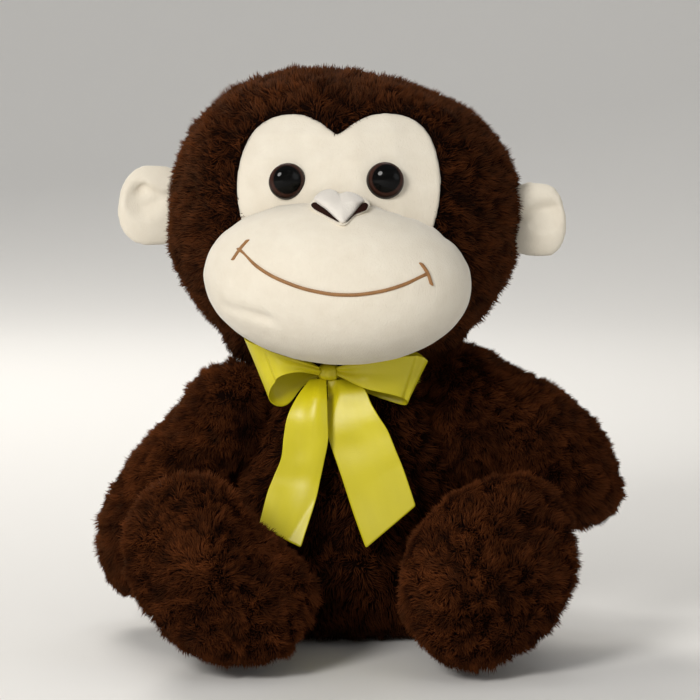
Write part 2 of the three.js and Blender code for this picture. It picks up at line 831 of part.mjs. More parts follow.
function headGroup() {
  const group = new THREE.Group();
  addHeadShell(group);
  addMuzzle(group);
  addNose(group);
  addSmile(group);
  group.add(meshOf('eye_left', eyeSolid(eyes.left), eyePlastic));
  group.add(meshOf('eye_right', eyeSolid(eyes.right), eyePlastic));
  group.add(meshOf('eye_washer_left', eyeWasher(eyes.left), washerPlastic));
  group.add(meshOf('eye_washer_right', eyeWasher(eyes.right), washerPlastic));
  addEar(group, 'ear_left', {
    side: -1,
    length: earLength,
    midHeight: earMidHeight,
    height: headBottom + earRise,
    lift: earLift,
  });
  addEar(group, 'ear_right', {
    side: 1,
    length: rightEarLength,
    midHeight: rightEarMidHeight,
    height: headBottom + rightEarRise,
    lift: rightEarLift,
  });
  return group;
}

// The head's frame turns about the middle of the neck
function turnedHead() {
  const group = headGroup();
  group.position.copy(neckPivot).negate();
  const turn = new THREE.Group();
  turn.add(group);
  turn.rotation.set(0, headRoll, headYaw, 'ZYX');
  turn.position.copy(neckPivot);
  return turn;
}

// Ribbon: a strip through stations, each with its middle, its width direction and its width
function ribbonStrip(stations) {
  const middles = stations.map((station) => station.middle);
  const rings = stations.map((station, i) => {
    const before = middles[Math.max(0, i - 1)];
    const after = middles[Math.min(middles.length - 1, i + 1)];
    const along = after.clone().sub(before).normalize();
    const width = station.across.clone().addScaledVector(along, -station.across.dot(along)).normalize();
    const facing = along.clone().cross(width);
    const half = station.width / 2;
    const corner = (w, f) =>
      station.middle
        .clone()
        .addScaledVector(width, w * half)
        .addScaledVector(along, (station.slant ?? 0) * w)
        .addScaledVector(facing, (f * ribbonThickness) / 2);
    return [corner(-1, -1), corner(1, -1), corner(1, 1), corner(-1, 1)];
  });
  const pole = (ring) => ring.reduce((sum, p) => sum.add(p), new THREE.Vector3()).divideScalar(4);
  return solidOf(skinOfRings(rings, pole(rings[0]), pole(rings.at(-1))));
}

const knotForward = frontOfTorso(0, knotHeight - 6) + 4;
const knotMiddle = new THREE.Vector3(knotSide, -knotForward, knotHeight);

function bandSolid() {
  return roundCollar(restGap + ribbonThickness, 0).subtract(solidOf(grown(torsoOuter, restGap)));
}

function knotSolid() {
  const cushion = oval(knotMiddle, knotHalfWidth, knotHalfDepth, knotHalfHeight, 12, 8, 2.6);
  return solidOf(cushion).subtract(solidOf(grown(torsoOuter, 2 * restGap + ribbonThickness)));
}

// A bow loop leaves the knot behind, folds over at its outer end and comes back in front
function loopSolid(side, fold) {
  const stations = Array.from({ length: 19 }, (_, i) => {
    const turn = Math.PI * (0.04 + (0.92 * i) / 18) * 2 - Math.PI;
    const out = 0.5 + 0.5 * Math.cos(turn);
    const spread = Math.sin(turn) * Math.pow(out, 0.5) * loopDepth * 0.62;
    const middle = knotMiddle.clone().add(
      new THREE.Vector3(side * (knotHalfWidth - 0.5 + fold.reach * out), spread - 2.4, fold.rise * out)
    );
    const width = THREE.MathUtils.lerp(ribbonGather, fold.width, Math.pow(out, 0.7));
    return { middle, across: new THREE.Vector3(side * fold.lean * out, 0, 1), width };
  });
  return ribbonStrip(stations);
}

// A ribbon end hangs from under the knot and lies over the chest and belly
function hangingEnd({ places, widths, drop, slant }) {
  const count = 12;
  const stations = Array.from({ length: count + 1 }, (_, i) => {
    const share = i / count;
    const x = through(places, share);
    const z = knotHeight - knotHalfHeight - 0.8 - drop * share;
    const width = through(widths, share);
    const left = new THREE.Vector3(x - width / 2, -frontOfTorso(x - width / 2, z), z);
    const right = new THREE.Vector3(x + width / 2, -frontOfTorso(x + width / 2, z), z);
    const chord = (left.y + right.y) / 2;
    const clear = ribbonStandOff + 2.5 * Math.pow(1 - share, 2);
    const middle = new THREE.Vector3(x, Math.min(chord, -frontOfTorso(x, z)) - clear, z);
    return { middle, across: right.sub(left).normalize(), width, slant: i === count ? slant : 0 };
  });
  return ribbonStrip(stations);
}

function addBow(group) {
  const knot = knotSolid();
  const clear = solidOf(grown(torsoOuter, restGap));
  group.add(meshOf('ribbon_band', bandSolid(), limeSatin));
  group.add(meshOf('bow_knot', knot, limeSatin));
  const leftFold = { reach: loopReach * 0.84, rise: 1.2, width: 22.5, lean: 0.4 };
  const rightFold = { reach: loopReach, rise: -1, width: 21, lean: 0.42 };
  group.add(meshOf('bow_loop_left', loopSolid(-1, leftFold).subtract(clear), limeSatin));
  group.add(meshOf('bow_loop_right', loopSolid(1, rightFold).subtract(clear), limeSatin));
  const leftEnd = { places: [-15.5, -19, -32], widths: [9, 17, ribbonWidth], drop: tailDrop - 4, slant: 5 };
  const rightEnd = {
    places: [-5.6, 3.5, 19.5],
    widths: [8, ribbonWidth * 0.9, ribbonWidth],
    drop: tailDrop - 6,
    slant: -10,
  };
  group.add(meshOf('ribbon_tail_left', hangingEnd(leftEnd), limeSatin));
  group.add(meshOf('ribbon_tail_right', hangingEnd(rightEnd), limeSatin));
}

const group = new THREE.Group();
addTorso(group);
addLimb(group, 'arm_left', arms.left, polyesterFill);
addLimb(group, 'arm_right', arms.right, polyesterFill);
addLeg(group, 'leg_left', legs.left);
addLeg(group, 'leg_right', legs.right);
addLimb(group, 'tail', tail, polyesterFill);
group.add(turnedHead());
addBow(group);

export default group;
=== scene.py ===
# %% [markdown]
# A plush monkey, sitting, dressed from its plain solids.
# The toy is long brown plush over stuffing, with a short cream pile on its face and ears,
# two plastic eyes, a sewn smile and a satin bow.
# Each cell makes one of these pieces or finishes, and prints what it made.

import math

import bmesh
import bpy
import numpy as np
from mathutils import Euler, Matrix, Vector, noise
from mathutils.bvhtree import BVHTree


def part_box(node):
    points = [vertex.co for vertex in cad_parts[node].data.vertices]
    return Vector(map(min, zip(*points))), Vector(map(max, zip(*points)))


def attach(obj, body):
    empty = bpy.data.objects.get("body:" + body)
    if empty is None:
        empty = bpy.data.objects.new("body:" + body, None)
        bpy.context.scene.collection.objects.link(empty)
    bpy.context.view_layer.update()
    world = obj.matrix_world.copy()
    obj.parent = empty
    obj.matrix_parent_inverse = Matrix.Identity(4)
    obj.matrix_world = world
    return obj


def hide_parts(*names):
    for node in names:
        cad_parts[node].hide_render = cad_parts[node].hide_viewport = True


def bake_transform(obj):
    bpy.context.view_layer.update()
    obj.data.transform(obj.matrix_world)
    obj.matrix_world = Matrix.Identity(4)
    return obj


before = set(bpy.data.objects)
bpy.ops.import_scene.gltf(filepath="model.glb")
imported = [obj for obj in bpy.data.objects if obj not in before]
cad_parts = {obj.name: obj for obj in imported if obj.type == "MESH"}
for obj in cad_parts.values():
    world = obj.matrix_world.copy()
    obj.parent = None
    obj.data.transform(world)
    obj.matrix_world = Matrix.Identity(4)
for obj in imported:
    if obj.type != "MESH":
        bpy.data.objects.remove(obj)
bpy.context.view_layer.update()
scene = bpy.context.scene
scene.view_settings.view_transform = "Standard"
MM = 0.001

# %% [markdown]
# Everything in the picture is an object in one scene, so one helper links an object and
# another turns a BMesh, which is where a mesh is drawn, into a finished object.

# %% Object helpers
def linked(name, data):
    item = bpy.data.objects.new(name, data)
    scene.collection.objects.link(item)
    return item


def built(name, shape):
    mesh = bpy.data.meshes.new(name)
    shape.to_mesh(mesh)
    shape.free()
    return linked(name, mesh)


# %% [markdown]
# The camera stands straight in front, a little above the toy, and far enough away that the
# feet look only slightly larger than the head. A long lens keeps that flat look of a
# studio picture.

# %% Camera
camera_distance = 1.5
camera_rise = math.radians(6.5)
aim = Vector((0, 0, 0.1337))
view_width = 0.336
lens = bpy.data.cameras.new("camera")
lens.sensor_width = 36
lens.lens = lens.sensor_width * camera_distance / view_width
camera = linked("camera", lens)
camera.location = aim + camera_distance * Vector((0, -math.cos(camera_rise), math.sin(camera_rise)))
camera.rotation_euler = (math.pi / 2 - camera_rise, 0, 0)
scene.camera = camera
print("lens", round(lens.lens, 1), "mm")

# %% [markdown]
# Soft light from the upper left makes the pile readable. A weaker fill on the right and a
# light from behind keep the dark plush from turning into a black shape. The toy stands on
# pale paper that bends up far away, with a lamp of its own.

# %% Lights, floor and background
def area_light(name, place, target, size, power, color=(1, 1, 1)):
    data = bpy.data.lights.new(name, "AREA")
    data.shape = "DISK"
    data.size = size
    data.energy = power
    data.color = color
    lamp = linked(name, data)
    lamp.location = place
    lamp.rotation_euler = (Vector(target) - Vector(place)).to_track_quat("-Z", "Y").to_euler()


area_light("key_light", (-0.72, -1.3, 0.85), (0, 0, 0.13), size=0.56, power=16, color=(1, 0.975, 0.94))
area_light("fill_light", (1.2, -1.0, 0.5), (0, 0, 0.12), size=0.9, power=1.8, color=(0.95, 0.97, 1))
area_light("back_light", (-0.5, 1.1, 1.1), (0, 0, 0.15), size=0.7, power=12, color=(1, 0.96, 0.9))
area_light("backdrop_light", (0, 0.8, 2.0), (0, 2.3, 0.5), size=1.2, power=9)

world = bpy.data.worlds.new("studio")
scene.world = world
world.use_nodes = True
sky = world.node_tree.nodes["Background"]
sky.inputs["Color"].default_value = (1, 1, 1, 1)
sky.inputs["Strength"].default_value = 0.32


def make_backdrop(flat=1.4, reach=1.6, rise=1.0, top=3.0, steps=24, sides=96):
    """A round paper floor that bends up into a wall far away, so that no view is blocked."""
    turn = [math.pi / 2 * step / steps for step in range(steps + 1)]
    profile = [(flat + reach * math.sin(a), rise - rise * math.cos(a)) for a in turn]
    profile.append((flat + reach, top))
    around = [2 * math.pi * side / sides for side in range(sides)]
    shape = bmesh.new()
    rows = [[shape.verts.new((r * math.cos(a), r * math.sin(a), z)) for a in around] for r, z in profile]
    shape.faces.new(rows[0])
    for low, high in zip(rows, rows[1:]):
        for side in range(sides):
            after = (side + 1) % sides
            shape.faces.new((low[after], low[side], high[side], high[after]))
    for face in shape.faces:
        face.smooth = True
    piece = built("backdrop", shape)
    paper = bpy.data.materials.new("pale_paper")
    paper.use_nodes = True
    shader = paper.node_tree.nodes["Principled BSDF"]
    shader.inputs["Base Color"].default_value = (0.8, 0.79, 0.77, 1)
    shader.inputs["Roughness"].default_value = 0.9
    piece.data.materials.append(paper)


make_backdrop()
print("lights", len(bpy.data.lights))


# %% [markdown]
# Shaders and Geometry Nodes trees are both made of nodes. These helpers make a group with
# named inputs and outputs, and add nodes whose inputs are filled by name or number.

# %% Node helpers
def new_group(name, kind, inputs, outputs):
    tree = bpy.data.node_groups.new(name, kind)
    for label, form, value in inputs:
        socket = tree.interface.new_socket(label, in_out="INPUT", socket_type="NodeSocket" + form)
        if value is not None:
            socket.default_value = value
    for label, form in outputs:
        tree.interface.new_socket(label, in_out="OUTPUT", socket_type="NodeSocket" + form)
    return tree, tree.nodes.new("NodeGroupInput"), tree.nodes.new("NodeGroupOutput")


def fed(tree, node, inputs):
    """Fills inputs of a node: a socket is linked, and anything else is set as a value."""
    for label, value in inputs.items():
        socket = node.inputs[label.replace("_", " ") if isinstance(label, str) else label]
        if isinstance(value, bpy.types.NodeSocket):
            tree.links.new(value, socket)
        else:
            socket.default_value = value
    return node


def added(tree, kind, settings=None, **inputs):
    """A new node with its settings, and with its inputs filled by name."""
    node = tree.nodes.new(kind)
    for name, value in (settings or {}).items():
        setattr(node, name, value)
    return fed(tree, node, inputs)


def number_math(tree, operation, *values):
    node = added(tree, "ShaderNodeMath", {"operation": operation})
    return fed(tree, node, dict(enumerate(values))).outputs[0]


def vector_math(tree, operation, *values):
    node = added(tree, "ShaderNodeVectorMath", {"operation": operation})
    return fed(tree, node, dict(enumerate(values))).outputs[0]


# %% [markdown]
# Grain is the one effect that all the finishes share: noise that is stretched along the
# piece, for the fibres of a pile or the threads of a ribbon. It gives a height for a bump
# and a mask for the colour.

# %% Shared grain
def make_grain():
    tree, start, end = new_group(
        "fibre_grain",
        "ShaderNodeTree",
        [
            ("Vector", "Vector", None),
            ("Scale", "Float", 900.0),
            ("Stretch", "Vector", (1.0, 1.0, 0.3)),
            ("Patches", "Float", 60.0),
        ],
        [("Height", "Float"), ("Mask", "Float")],
    )
    asked = start.outputs
    shaped = vector_math(tree, "MULTIPLY", asked["Vector"], asked["Stretch"])
    fibres = added(tree, "ShaderNodeTexNoise", Vector=shaped, Scale=asked["Scale"], Detail=3)
    patches = added(tree, "ShaderNodeTexNoise", Vector=asked["Vector"], Scale=asked["Patches"], Detail=2)
    mask = patches.outputs["Fac"]
    height = number_math(tree, "MULTIPLY_ADD", fibres.outputs["Fac"], 0.7, mask)
    fed(tree, end, {"Height": height, "Mask": mask})
    return tree


fibre_grain = make_grain()
print("effects:", [tree.name for tree in bpy.data.node_groups])


# %% [markdown]
# Two colours that are mixed by a mask make every cloth here. The shader's own numbers, such
# as sheen, stay on the shader, because they are the same all over a piece.

# %% Material helpers
def principled(name, roughness, **numbers):
    material = bpy.data.materials.new(name)
    material.use_nodes = True
    tree = material.node_tree
    shader = fed(tree, tree.nodes["Principled BSDF"], {"Roughness": roughness, **numbers})
    return material, tree, shader


def mixed_colour(tree, mask, low, high):
    """A colour between two, each of them a value or a socket."""
    ends = [(*colour, 1) if isinstance(colour, tuple) else colour for colour in (low, high)]
    mix = added(tree, "ShaderNodeMix", {"data_type": "RGBA"})
    return fed(tree, mix, {0: mask, 6: ends[0], 7: ends[1]}).outputs[2]


def grain_in(tree, vector, scale, stretch, patches):
    settings = {"node_tree": fibre_grain}
    return added(
        tree, "ShaderNodeGroup", settings, Vector=vector, Scale=scale, Stretch=stretch, Patches=patches
    )


def read(tree, name):
    return added(tree, "ShaderNodeAttribute", {"attribute_name": name}).outputs["Fac"]


def object_place(tree):
    return tree.nodes.new("ShaderNodeTexCoord").outputs["Object"]


def ribbon_place(tree):
    return added(tree, "ShaderNodeUVMap", {"uv_map": "OFBake"}).outputs["UV"]


def make_finish(name, roughness, low, high, grain, depth, strength, place=object_place, **numbers):
    """A material whose colour and bump come from the grain, which is scale, stretch and patches."""
    material, tree, shader = principled(name, roughness, **numbers)
    pattern = grain_in(tree, place(tree), *grain)
    colour = mixed_colour(tree, pattern.outputs["Mask"], low, high)
    bump = added(tree, "ShaderNodeBump", Height=pattern.outputs["Height"], Distance=depth, Strength=strength)
    fed(tree, shader, {"Base Color": colour, "Normal": bump.outputs["Normal"]})
    return material


# %% [markdown]
# The brown plush is darkest at the roots of its pile, painted shade where no light gets in,
# and lighter and warmer at the tips. Each tuft carries its own tip and shade values as
# attributes. The shade value is painted shade too: tufts between the clumps are darker,
# with a random part on top. A soft pattern of patches makes some parts a little lighter,
# as where the pile is brushed.

# %% Brown plush
def make_plush():
    root, dark_tip, light_tip = (0.004, 0.001, 0.0004), (0.0095, 0.0021, 0.0007), (0.18, 0.051, 0.0145)
    material, tree, shader = principled("chocolate_plush", 0.95, Sheen_Weight=0.1, Specular_IOR_Level=0.05)
    fed(tree, shader, {"Sheen Roughness": 0.5, "Sheen Tint": (0.5, 0.21, 0.08, 1)})
    grain = grain_in(tree, object_place(tree), 500, (1, 1, 1), 45)
    # Painted shade: the shade value darkens tufts between clumps, and the dark root colour stands for the
    # shade deep in the pile.
    lit = number_math(tree, "MULTIPLY_ADD", read(tree, "shade"), 0.7, grain.outputs["Mask"])
    tips = mixed_colour(tree, lit, dark_tip, light_tip)
    fed(tree, shader, {"Base Color": mixed_colour(tree, read(tree, "tip"), root, tips)})
    return material


plush = make_plush()


# %% [markdown]
# The face and ears are a cream pile of a millimetre or two. It is too short to see as hair,
# so its fibres are a bump, finer than the brush marks that show as faint patches. The
# smaller pieces have plainer finishes. The eye's colour depends on how far a point lies from
# its middle, so that a brown rim shows round the black.

# %% Cream pile, nose, thread and plastic finishes
even = (1, 1, 1)
short_pile = {"roughness": 0.88, "depth": 0.0006, "strength": 0.55}
short_pile.update(Sheen_Weight=0.35, Sheen_Roughness=0.4, Specular_IOR_Level=0.2)
cream = make_finish(
    "cream_velboa", low=(0.76, 0.69, 0.57), high=(0.86, 0.805, 0.69), grain=(1500, (1, 1, 0.35), 110),
    **short_pile,
)
nose_white = make_finish(
    "nose_cloth", low=(0.76, 0.71, 0.65), high=(0.85, 0.81, 0.74), grain=(1500, even, 110), **short_pile
)
nostril_and_shadow_brown = make_finish(
    "nostril_lining", low=(0.014, 0.0035, 0.002), high=(0.03, 0.009, 0.005), grain=(900, even, 112.5),
    roughness=0.9, depth=0.0003, strength=0.4, Specular_IOR_Level=0.1,
)
thread_brown = make_finish(
    "smile_thread", low=(0.23, 0.1, 0.03), high=(0.40, 0.2, 0.065), grain=(2500, even, 312.5),
    roughness=0.5, depth=0.0002, strength=0.4,
)
washer_plastic = make_finish(
    "washer_plastic", low=(0.7, 0.7, 0.69), high=(0.8, 0.8, 0.79), grain=(700, even, 87.5),
    roughness=0.5, depth=0.0001, strength=0.4,
)


def make_eye():
    material, tree, shader = principled("eye_plastic", 0.07, Specular_IOR_Level=0.16)
    ramp = added(tree, "ShaderNodeValToRGB", Fac=read(tree, "iris"))
    black, rim = ramp.color_ramp.elements
    black.position = 0.7
    black.color = (0.001, 0.001, 0.001, 1)
    rim.position = 0.8
    rim.color = (0.05, 0.02, 0.014, 1)
    edge = ramp.color_ramp.elements.new(1.0)
    edge.color = (0.008, 0.003, 0.002, 1)
    fed(tree, shader, {"Base Color": ramp.outputs["Color"]})
    return material


eye_black = make_eye()


# %% [markdown]
# Satin shines along one direction, because its threads lie side by side. The ribbon's own UV
# map runs along its length, so fine lines across it follow every fold.

# %% Satin
satin = make_finish(
    "lime_satin", low=(0.58, 0.5, 0.004), high=(0.72, 0.63, 0.012), grain=(60, (0.25, 5, 1), 3),
    roughness=0.36, depth=0.0002, strength=0.35, place=ribbon_place, Specular_IOR_Level=0.5,
)
print("materials:", len(bpy.data.materials))


# %% [markdown]
# The stuffed pieces start from copies of their solids. A voxel remesh joins skin and
# stuffing into one closed skin, and the small steps are smoothed away.
# A cloth simulation with pressure inside then swells it as stuffing does.

# %% Mesh helpers
def applied(piece):
    graph = bpy.context.evaluated_depsgraph_get()
    mesh = bpy.data.meshes.new_from_object(
        piece.evaluated_get(graph), preserve_all_data_layers=True, depsgraph=graph
    )
    piece.modifiers.clear()
    old = piece.data
    piece.data = mesh
    mesh.name = piece.name
    bpy.data.meshes.remove(old)


def solid_copy(*nodes):
    shape = bmesh.new()
    for node in nodes:
        shape.from_mesh(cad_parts[node].data)
    bmesh.ops.remove_doubles(shape, verts=shape.verts, dist=1e-6)
    return shape


def vectors_of(items, name):
    values = np.zeros(len(items) * 3, np.float32)
    items.foreach_get(name, values)
    return values.reshape(-1, 3)


def places(mesh):
    return vectors_of(mesh.vertices, "co")


def normals(mesh):
    return vectors_of(mesh.vertex_normals, "vector")


def move_to(mesh, values):
    mesh.vertices.foreach_set("co", np.ascontiguousarray(values, np.float32).ravel())
    mesh.update()


def largest_part(mesh):
    shape = bmesh.new()
    shape.from_mesh(mesh)
    left = set(shape.verts)
    parts = []
    while left:
        found = {left.pop()}
        edge = list(found)
        while edge:
            near = {e.other_vert(v) for v in edge for e in v.link_edges} - found
            found |= near
            edge = list(near)
        left -= found
        parts.append(found)
    parts.sort(key=len)
    for part in parts[:-1]:
        bmesh.ops.delete(shape, geom=list(part), context="VERTS")
    shape.to_mesh(mesh)
    shape.free()


def modify(piece, kind, **values):
    modifier = piece.modifiers.new(kind.lower(), kind)
    for name, value in values.items():
        setattr(modifier, name, value)
    return modifier


def one_skin(name, shape, voxel, rounds=8):
    piece = built(name, shape)
    modify(piece, "REMESH", mode="VOXEL", voxel_size=voxel)
    applied(piece)
    largest_part(piece.data)
    modify(piece, "SMOOTH", factor=0.5, iterations=rounds)
    applied(piece)
    return piece


def swollen(piece, cap, pressure=4.0):
    start = places(piece.data)
    cloth = modify(piece, "CLOTH")
    cloth.settings.use_pressure = True
    cloth.settings.uniform_pressure_force = pressure
    cloth.settings.effector_weights.gravity = 0
    cloth.settings.quality = 4
    for step in range(1, 21):
        scene.frame_set(step)
    applied(piece)
    scene.frame_set(1)
    shift = places(piece.data) - start
    length = np.linalg.norm(shift, axis=1, keepdims=True)
    move_to(piece.data, start + shift * np.minimum(1, cap / np.maximum(length, 1e-9)))


def subdivided(piece):
    modify(piece, "SUBSURF", levels=1, render_levels=1)
    applied(piece)


def smooth_shaded(piece):
    piece.data.polygons.foreach_set("use_smooth", np.ones(len(piece.data.polygons), bool))


def tree_of(*meshes):
    shape = bmesh.new()
    for mesh in meshes:
        shape.from_mesh(mesh)
    tree = BVHTree.FromBMesh(shape)
    shape.free()
    return tree


def flat_below(piece, height=0.0008):
    start = places(piece.data)
    start[:, 2] = np.maximum(start[:, 2], height)
    move_to(piece.data, start)


# %% [markdown]
# The pile is thousands of small pointed tufts, so a Geometry Nodes tree makes it. Points are
# scattered over the skin where its pile value is 1. Each gets a thin three-sided cone that
# leans with the comb direction, and a noise pattern bends neighbours together into clumps.
# The tree's inputs are the sizes that someone might change.

# %% Pile tree
def named(tree, name, kind):
    node = added(tree, "GeometryNodeInputNamedAttribute", {"data_type": kind}, Name=name)
    return node.outputs["Attribute"]


def stored(tree, geometry, name, kind, domain, value):
    settings = {"data_type": kind, "domain": domain}
    node = added(tree, "GeometryNodeStoreNamedAttribute", settings, Geometry=geometry, Name=name, Value=value)
    return node.outputs["Geometry"]


def random_value(tree, low, high, seed):
    """A random value for each point, which is a vector where its limits are vectors."""
    kind, first, result = ("FLOAT_VECTOR", 0, 0) if isinstance(low, tuple) else ("FLOAT", 2, 1)
    node = added(tree, "FunctionNodeRandomValue", {"data_type": kind}, Seed=seed)
    return fed(tree, node, {first: low, first + 1: high}).outputs[result]


def scaled(tree, vector, scale):
    node = added(tree, "ShaderNodeVectorMath", {"operation": "SCALE"}, Scale=scale)
    return fed(tree, node, {0: vector}).outputs[0]


def turned(tree, rotation, turn):
    node = added(tree, "FunctionNodeRotateRotation", {"rotation_space": "LOCAL"})
    return fed(tree, node, {0: rotation, 1: turn}).outputs[0]


def clump_vector(tree, scale, seed):
    place = tree.nodes.new("GeometryNodeInputPosition").outputs[0]
    settings = {"noise_dimensions": "4D"}
    texture = added(tree, "ShaderNodeTexNoise", settings, Vector=place, W=seed, Scale=scale, Detail=1)
    return vector_math(tree, "SUBTRACT", texture.outputs["Color"], (0.5, 0.5, 0.5)), texture.outputs["Fac"]


def geometry_group(name, sizes):
    numbers = [(label, "Float", value) for label, value in sizes.items()]
    inputs = [("Geometry", "Geometry", None), *numbers, ("Material", "Material", None)]
    return new_group(name, "GeometryNodeTree", inputs, [("Geometry", "Geometry")])


def real_mesh(tree, instances, material, end):
    """Ends a tree: the instances become one mesh with the material."""
    real = added(tree, "GeometryNodeRealizeInstances", Geometry=instances).outputs["Geometry"]
    finish = added(tree, "GeometryNodeSetMaterial", Geometry=real, Material=material)
    fed(tree, end, {"Geometry": finish.outputs["Geometry"]})


def make_pile_tree():
    sizes = {"Length": 0.008, "Width": 0.0009, "Lean": 0.6, "Clumping": 2.2}
    tree, start, end = geometry_group("pile", {"Tufts per square metre": 400000.0, **sizes})
    asked = start.outputs
    slimness = number_math(tree, "DIVIDE", asked["Width"], asked["Length"])
    cone = added(
        tree, "GeometryNodeMeshCone", {"fill_type": "NONE"},
        Vertices=3, Side_Segments=1, Radius_Top=0, Radius_Bottom=slimness, Depth=1,
    )
    place = tree.nodes.new("GeometryNodeInputPosition").outputs[0]
    height = added(tree, "ShaderNodeSeparateXYZ", Vector=place)
    tuft = stored(tree, cone.outputs["Mesh"], "OFBake", "FLOAT2", "CORNER", cone.outputs["UV Map"])
    tuft = stored(tree, tuft, "tip", "FLOAT", "POINT", height.outputs["Z"])
    density = number_math(tree, "MULTIPLY", asked["Tufts per square metre"], named(tree, "pile", "FLOAT"))
    spread = added(
        tree, "GeometryNodeDistributePointsOnFaces", Mesh=asked["Geometry"], Density=density, Seed=7
    )

    wide, _ = clump_vector(tree, scale=95, seed=1.5)
    fine, fullness = clump_vector(tree, scale=190, seed=4.5)
    combed = scaled(tree, named(tree, "comb", "FLOAT_VECTOR"), asked["Lean"])
    clumped = scaled(tree, vector_math(tree, "ADD", wide, fine), asked["Clumping"])
    loose = random_value(tree, (-0.3, -0.3, -0.3), (0.3, 0.3, 0.3), seed=3)
    direction = vector_math(
        tree, "ADD",
        vector_math(tree, "ADD", spread.outputs["Normal"], combed),
        vector_math(tree, "ADD", clumped, loose),
    )
    aligned = added(tree, "FunctionNodeAlignRotationToVector", {"axis": "Z"}, Vector=direction)
    spin = added(tree, "ShaderNodeCombineXYZ", Z=random_value(tree, 0.0, 2 * math.pi, seed=11))
    rotation = turned(tree, aligned.outputs[0], spin.outputs[0])
    size = number_math(tree, "MULTIPLY_ADD", fullness, 1.5, 0.05)
    for factor in (random_value(tree, 0.7, 1.15, seed=17), asked["Length"]):
        size = number_math(tree, "MULTIPLY", size, factor)
    tufts = added(
        tree, "GeometryNodeInstanceOnPoints",
        Points=spread.outputs["Points"], Instance=tuft, Rotation=rotation, Scale=size,
    )
    # Painted shade: tufts where the clump noise is thin, between the clumps, get a low shade value and so a
    # darker colour, with a random part on top.
    clump_shade_and_tone = number_math(tree, "MULTIPLY_ADD", fullness, 2.4, random_value(tree, -1.5, -1.0, seed=23))
    tufts_with_shade = stored(tree, tufts.outputs["Instances"], "shade", "FLOAT", "INSTANCE", clump_shade_and_tone)
    real_mesh(tree, tufts_with_shade, asked["Material"], end)
    return tree


pile_tree = make_pile_tree()
print("pile tree nodes:", len(pile_tree.nodes))


# %% [markdown]
# A tree's input is set by the identifier of its socket, before Blender evaluates the object.
# The result is turned into a plain mesh and joined to the skin that carries it.
# Every tuft gets its own cell of the piece's UV map, so a baked picture keeps its shading.

# %% Growing the pile
def grown_from(piece, tree, **sizes):
    modifier = piece.modifiers.new(tree.name, "NODES")
    modifier.node_group = tree
    for item in tree.interface.items_tree:
        key = item.name.replace(" ", "_") if item.item_type == "SOCKET" else None
        if key in sizes and item.in_out == "INPUT":
            modifier[item.identifier] = sizes[key]
    graph = bpy.context.evaluated_depsgraph_get()
    mesh = bpy.data.meshes.new_from_object(
        piece.evaluated_get(graph), preserve_all_data_layers=True, depsgraph=graph
    )
    piece.modifiers.remove(modifier)
    return mesh


def attribute(mesh, name, kind, values):
    field = mesh.attributes.get(name) or mesh.attributes.new(name, kind, "POINT")
    key = "vector" if kind == "FLOAT_VECTOR" else "value"
    field.data.foreach_set(key, np.ascontiguousarray(values, np.float32).ravel())


def face_cells(mesh, low=0.87, high=0.99):
    """One small cell of the UV map for each face of a skin that its pile hides."""
    layer = mesh.uv_layers.get("OFBake") or mesh.uv_layers.new(name="OFBake")
    count = len(mesh.polygons)
    rows = max(1, int(math.sqrt(count * (high - low))))
    columns = math.ceil(count / rows)
    starts = np.zeros(count, np.int32)
    totals = np.zeros(count, np.int32)
    mesh.polygons.foreach_get("loop_start", starts)
    mesh.polygons.foreach_get("loop_total", totals)
    face = np.repeat(np.arange(count), totals)
    corner = np.arange(len(mesh.loops)) - np.repeat(starts, totals)
    across = np.isin(corner, (1, 2)) * 0.8 + 0.1
    along = (corner > 1) * 0.8 + 0.1
    u = (face % columns + across) / columns
    v = low + (high - low) * (face // columns + along) / rows
    layer.data.foreach_set("uv", np.stack([u, v], 1).astype(np.float32).ravel())


def tuft_cells(mesh, corners_each, high=0.86):
    layer = mesh.uv_layers.get("OFBake")
    values = np.zeros(len(mesh.loops) * 2, np.float32)
    layer.data.foreach_get("uv", values)
    values = values.reshape(-1, 2)
    tuft = np.arange(len(mesh.loops)) // corners_each
    side = math.ceil(math.sqrt(tuft[-1] + 1))
    values[:, 0] = (tuft % side + 0.1 + 0.8 * values[:, 0]) / side
    values[:, 1] = high * (tuft // side + 0.1 + 0.8 * np.clip(values[:, 1], 0, 1)) / side
    layer.data.foreach_set("uv", values.ravel())
    return tuft[-1] + 1


def with_pile(piece, count, length, width=0.00044, lean=0.75, clumping=2.7):
    """Covers a skin with about this many tufts, and joins them to it."""
    mesh = piece.data
    share = np.zeros(len(mesh.vertices), np.float32)
    mesh.attributes["pile"].data.foreach_get("value", share)
    area = sum(face.area * share[list(face.vertices)].mean() for face in mesh.polygons)
    sizes = {"Length": length, "Width": width, "Lean": lean, "Clumping": clumping}
    pile = grown_from(piece, pile_tree, Tufts_per_square_metre=count / area, Material=plush, **sizes)
    made = tuft_cells(pile, corners_each=3 * 3)
    face_cells(mesh)
    mesh.materials.clear()
    mesh.materials.append(plush)
    both = [piece, linked(piece.name + "_tufts", pile)]
    with bpy.context.temp_override(
        active_object=piece, object=piece, selected_objects=both, selected_editable_objects=both
    ):
        bpy.ops.object.join()
    flat_below(piece, 0.0003)
    smooth_shaded(piece)
    print(piece.name, "tufts", made, "on", round(area * 1e4), "cm2")


def marked(piece, pile, comb):
    """Stores where a skin has pile and which way it is combed."""
    attribute(piece.data, "pile", "FLOAT", pile)
    attribute(piece.data, "comb", "FLOAT_VECTOR", comb)


def distance_to(tree, points, reach=0.02):
    """Distance of each point outside a mesh, negative inside it."""
    found = np.full(len(points), reach, np.float32)
    for i, point in enumerate(points):
        spot, normal, _, away = tree.find_nearest(Vector(point), reach)
        if spot is not None:
            found[i] = away if (Vector(point) - spot).dot(normal) > 0 else -away
    return found


def unit(values):
    return values / np.maximum(np.linalg.norm(values, axis=1, keepdims=True), 1e-9)


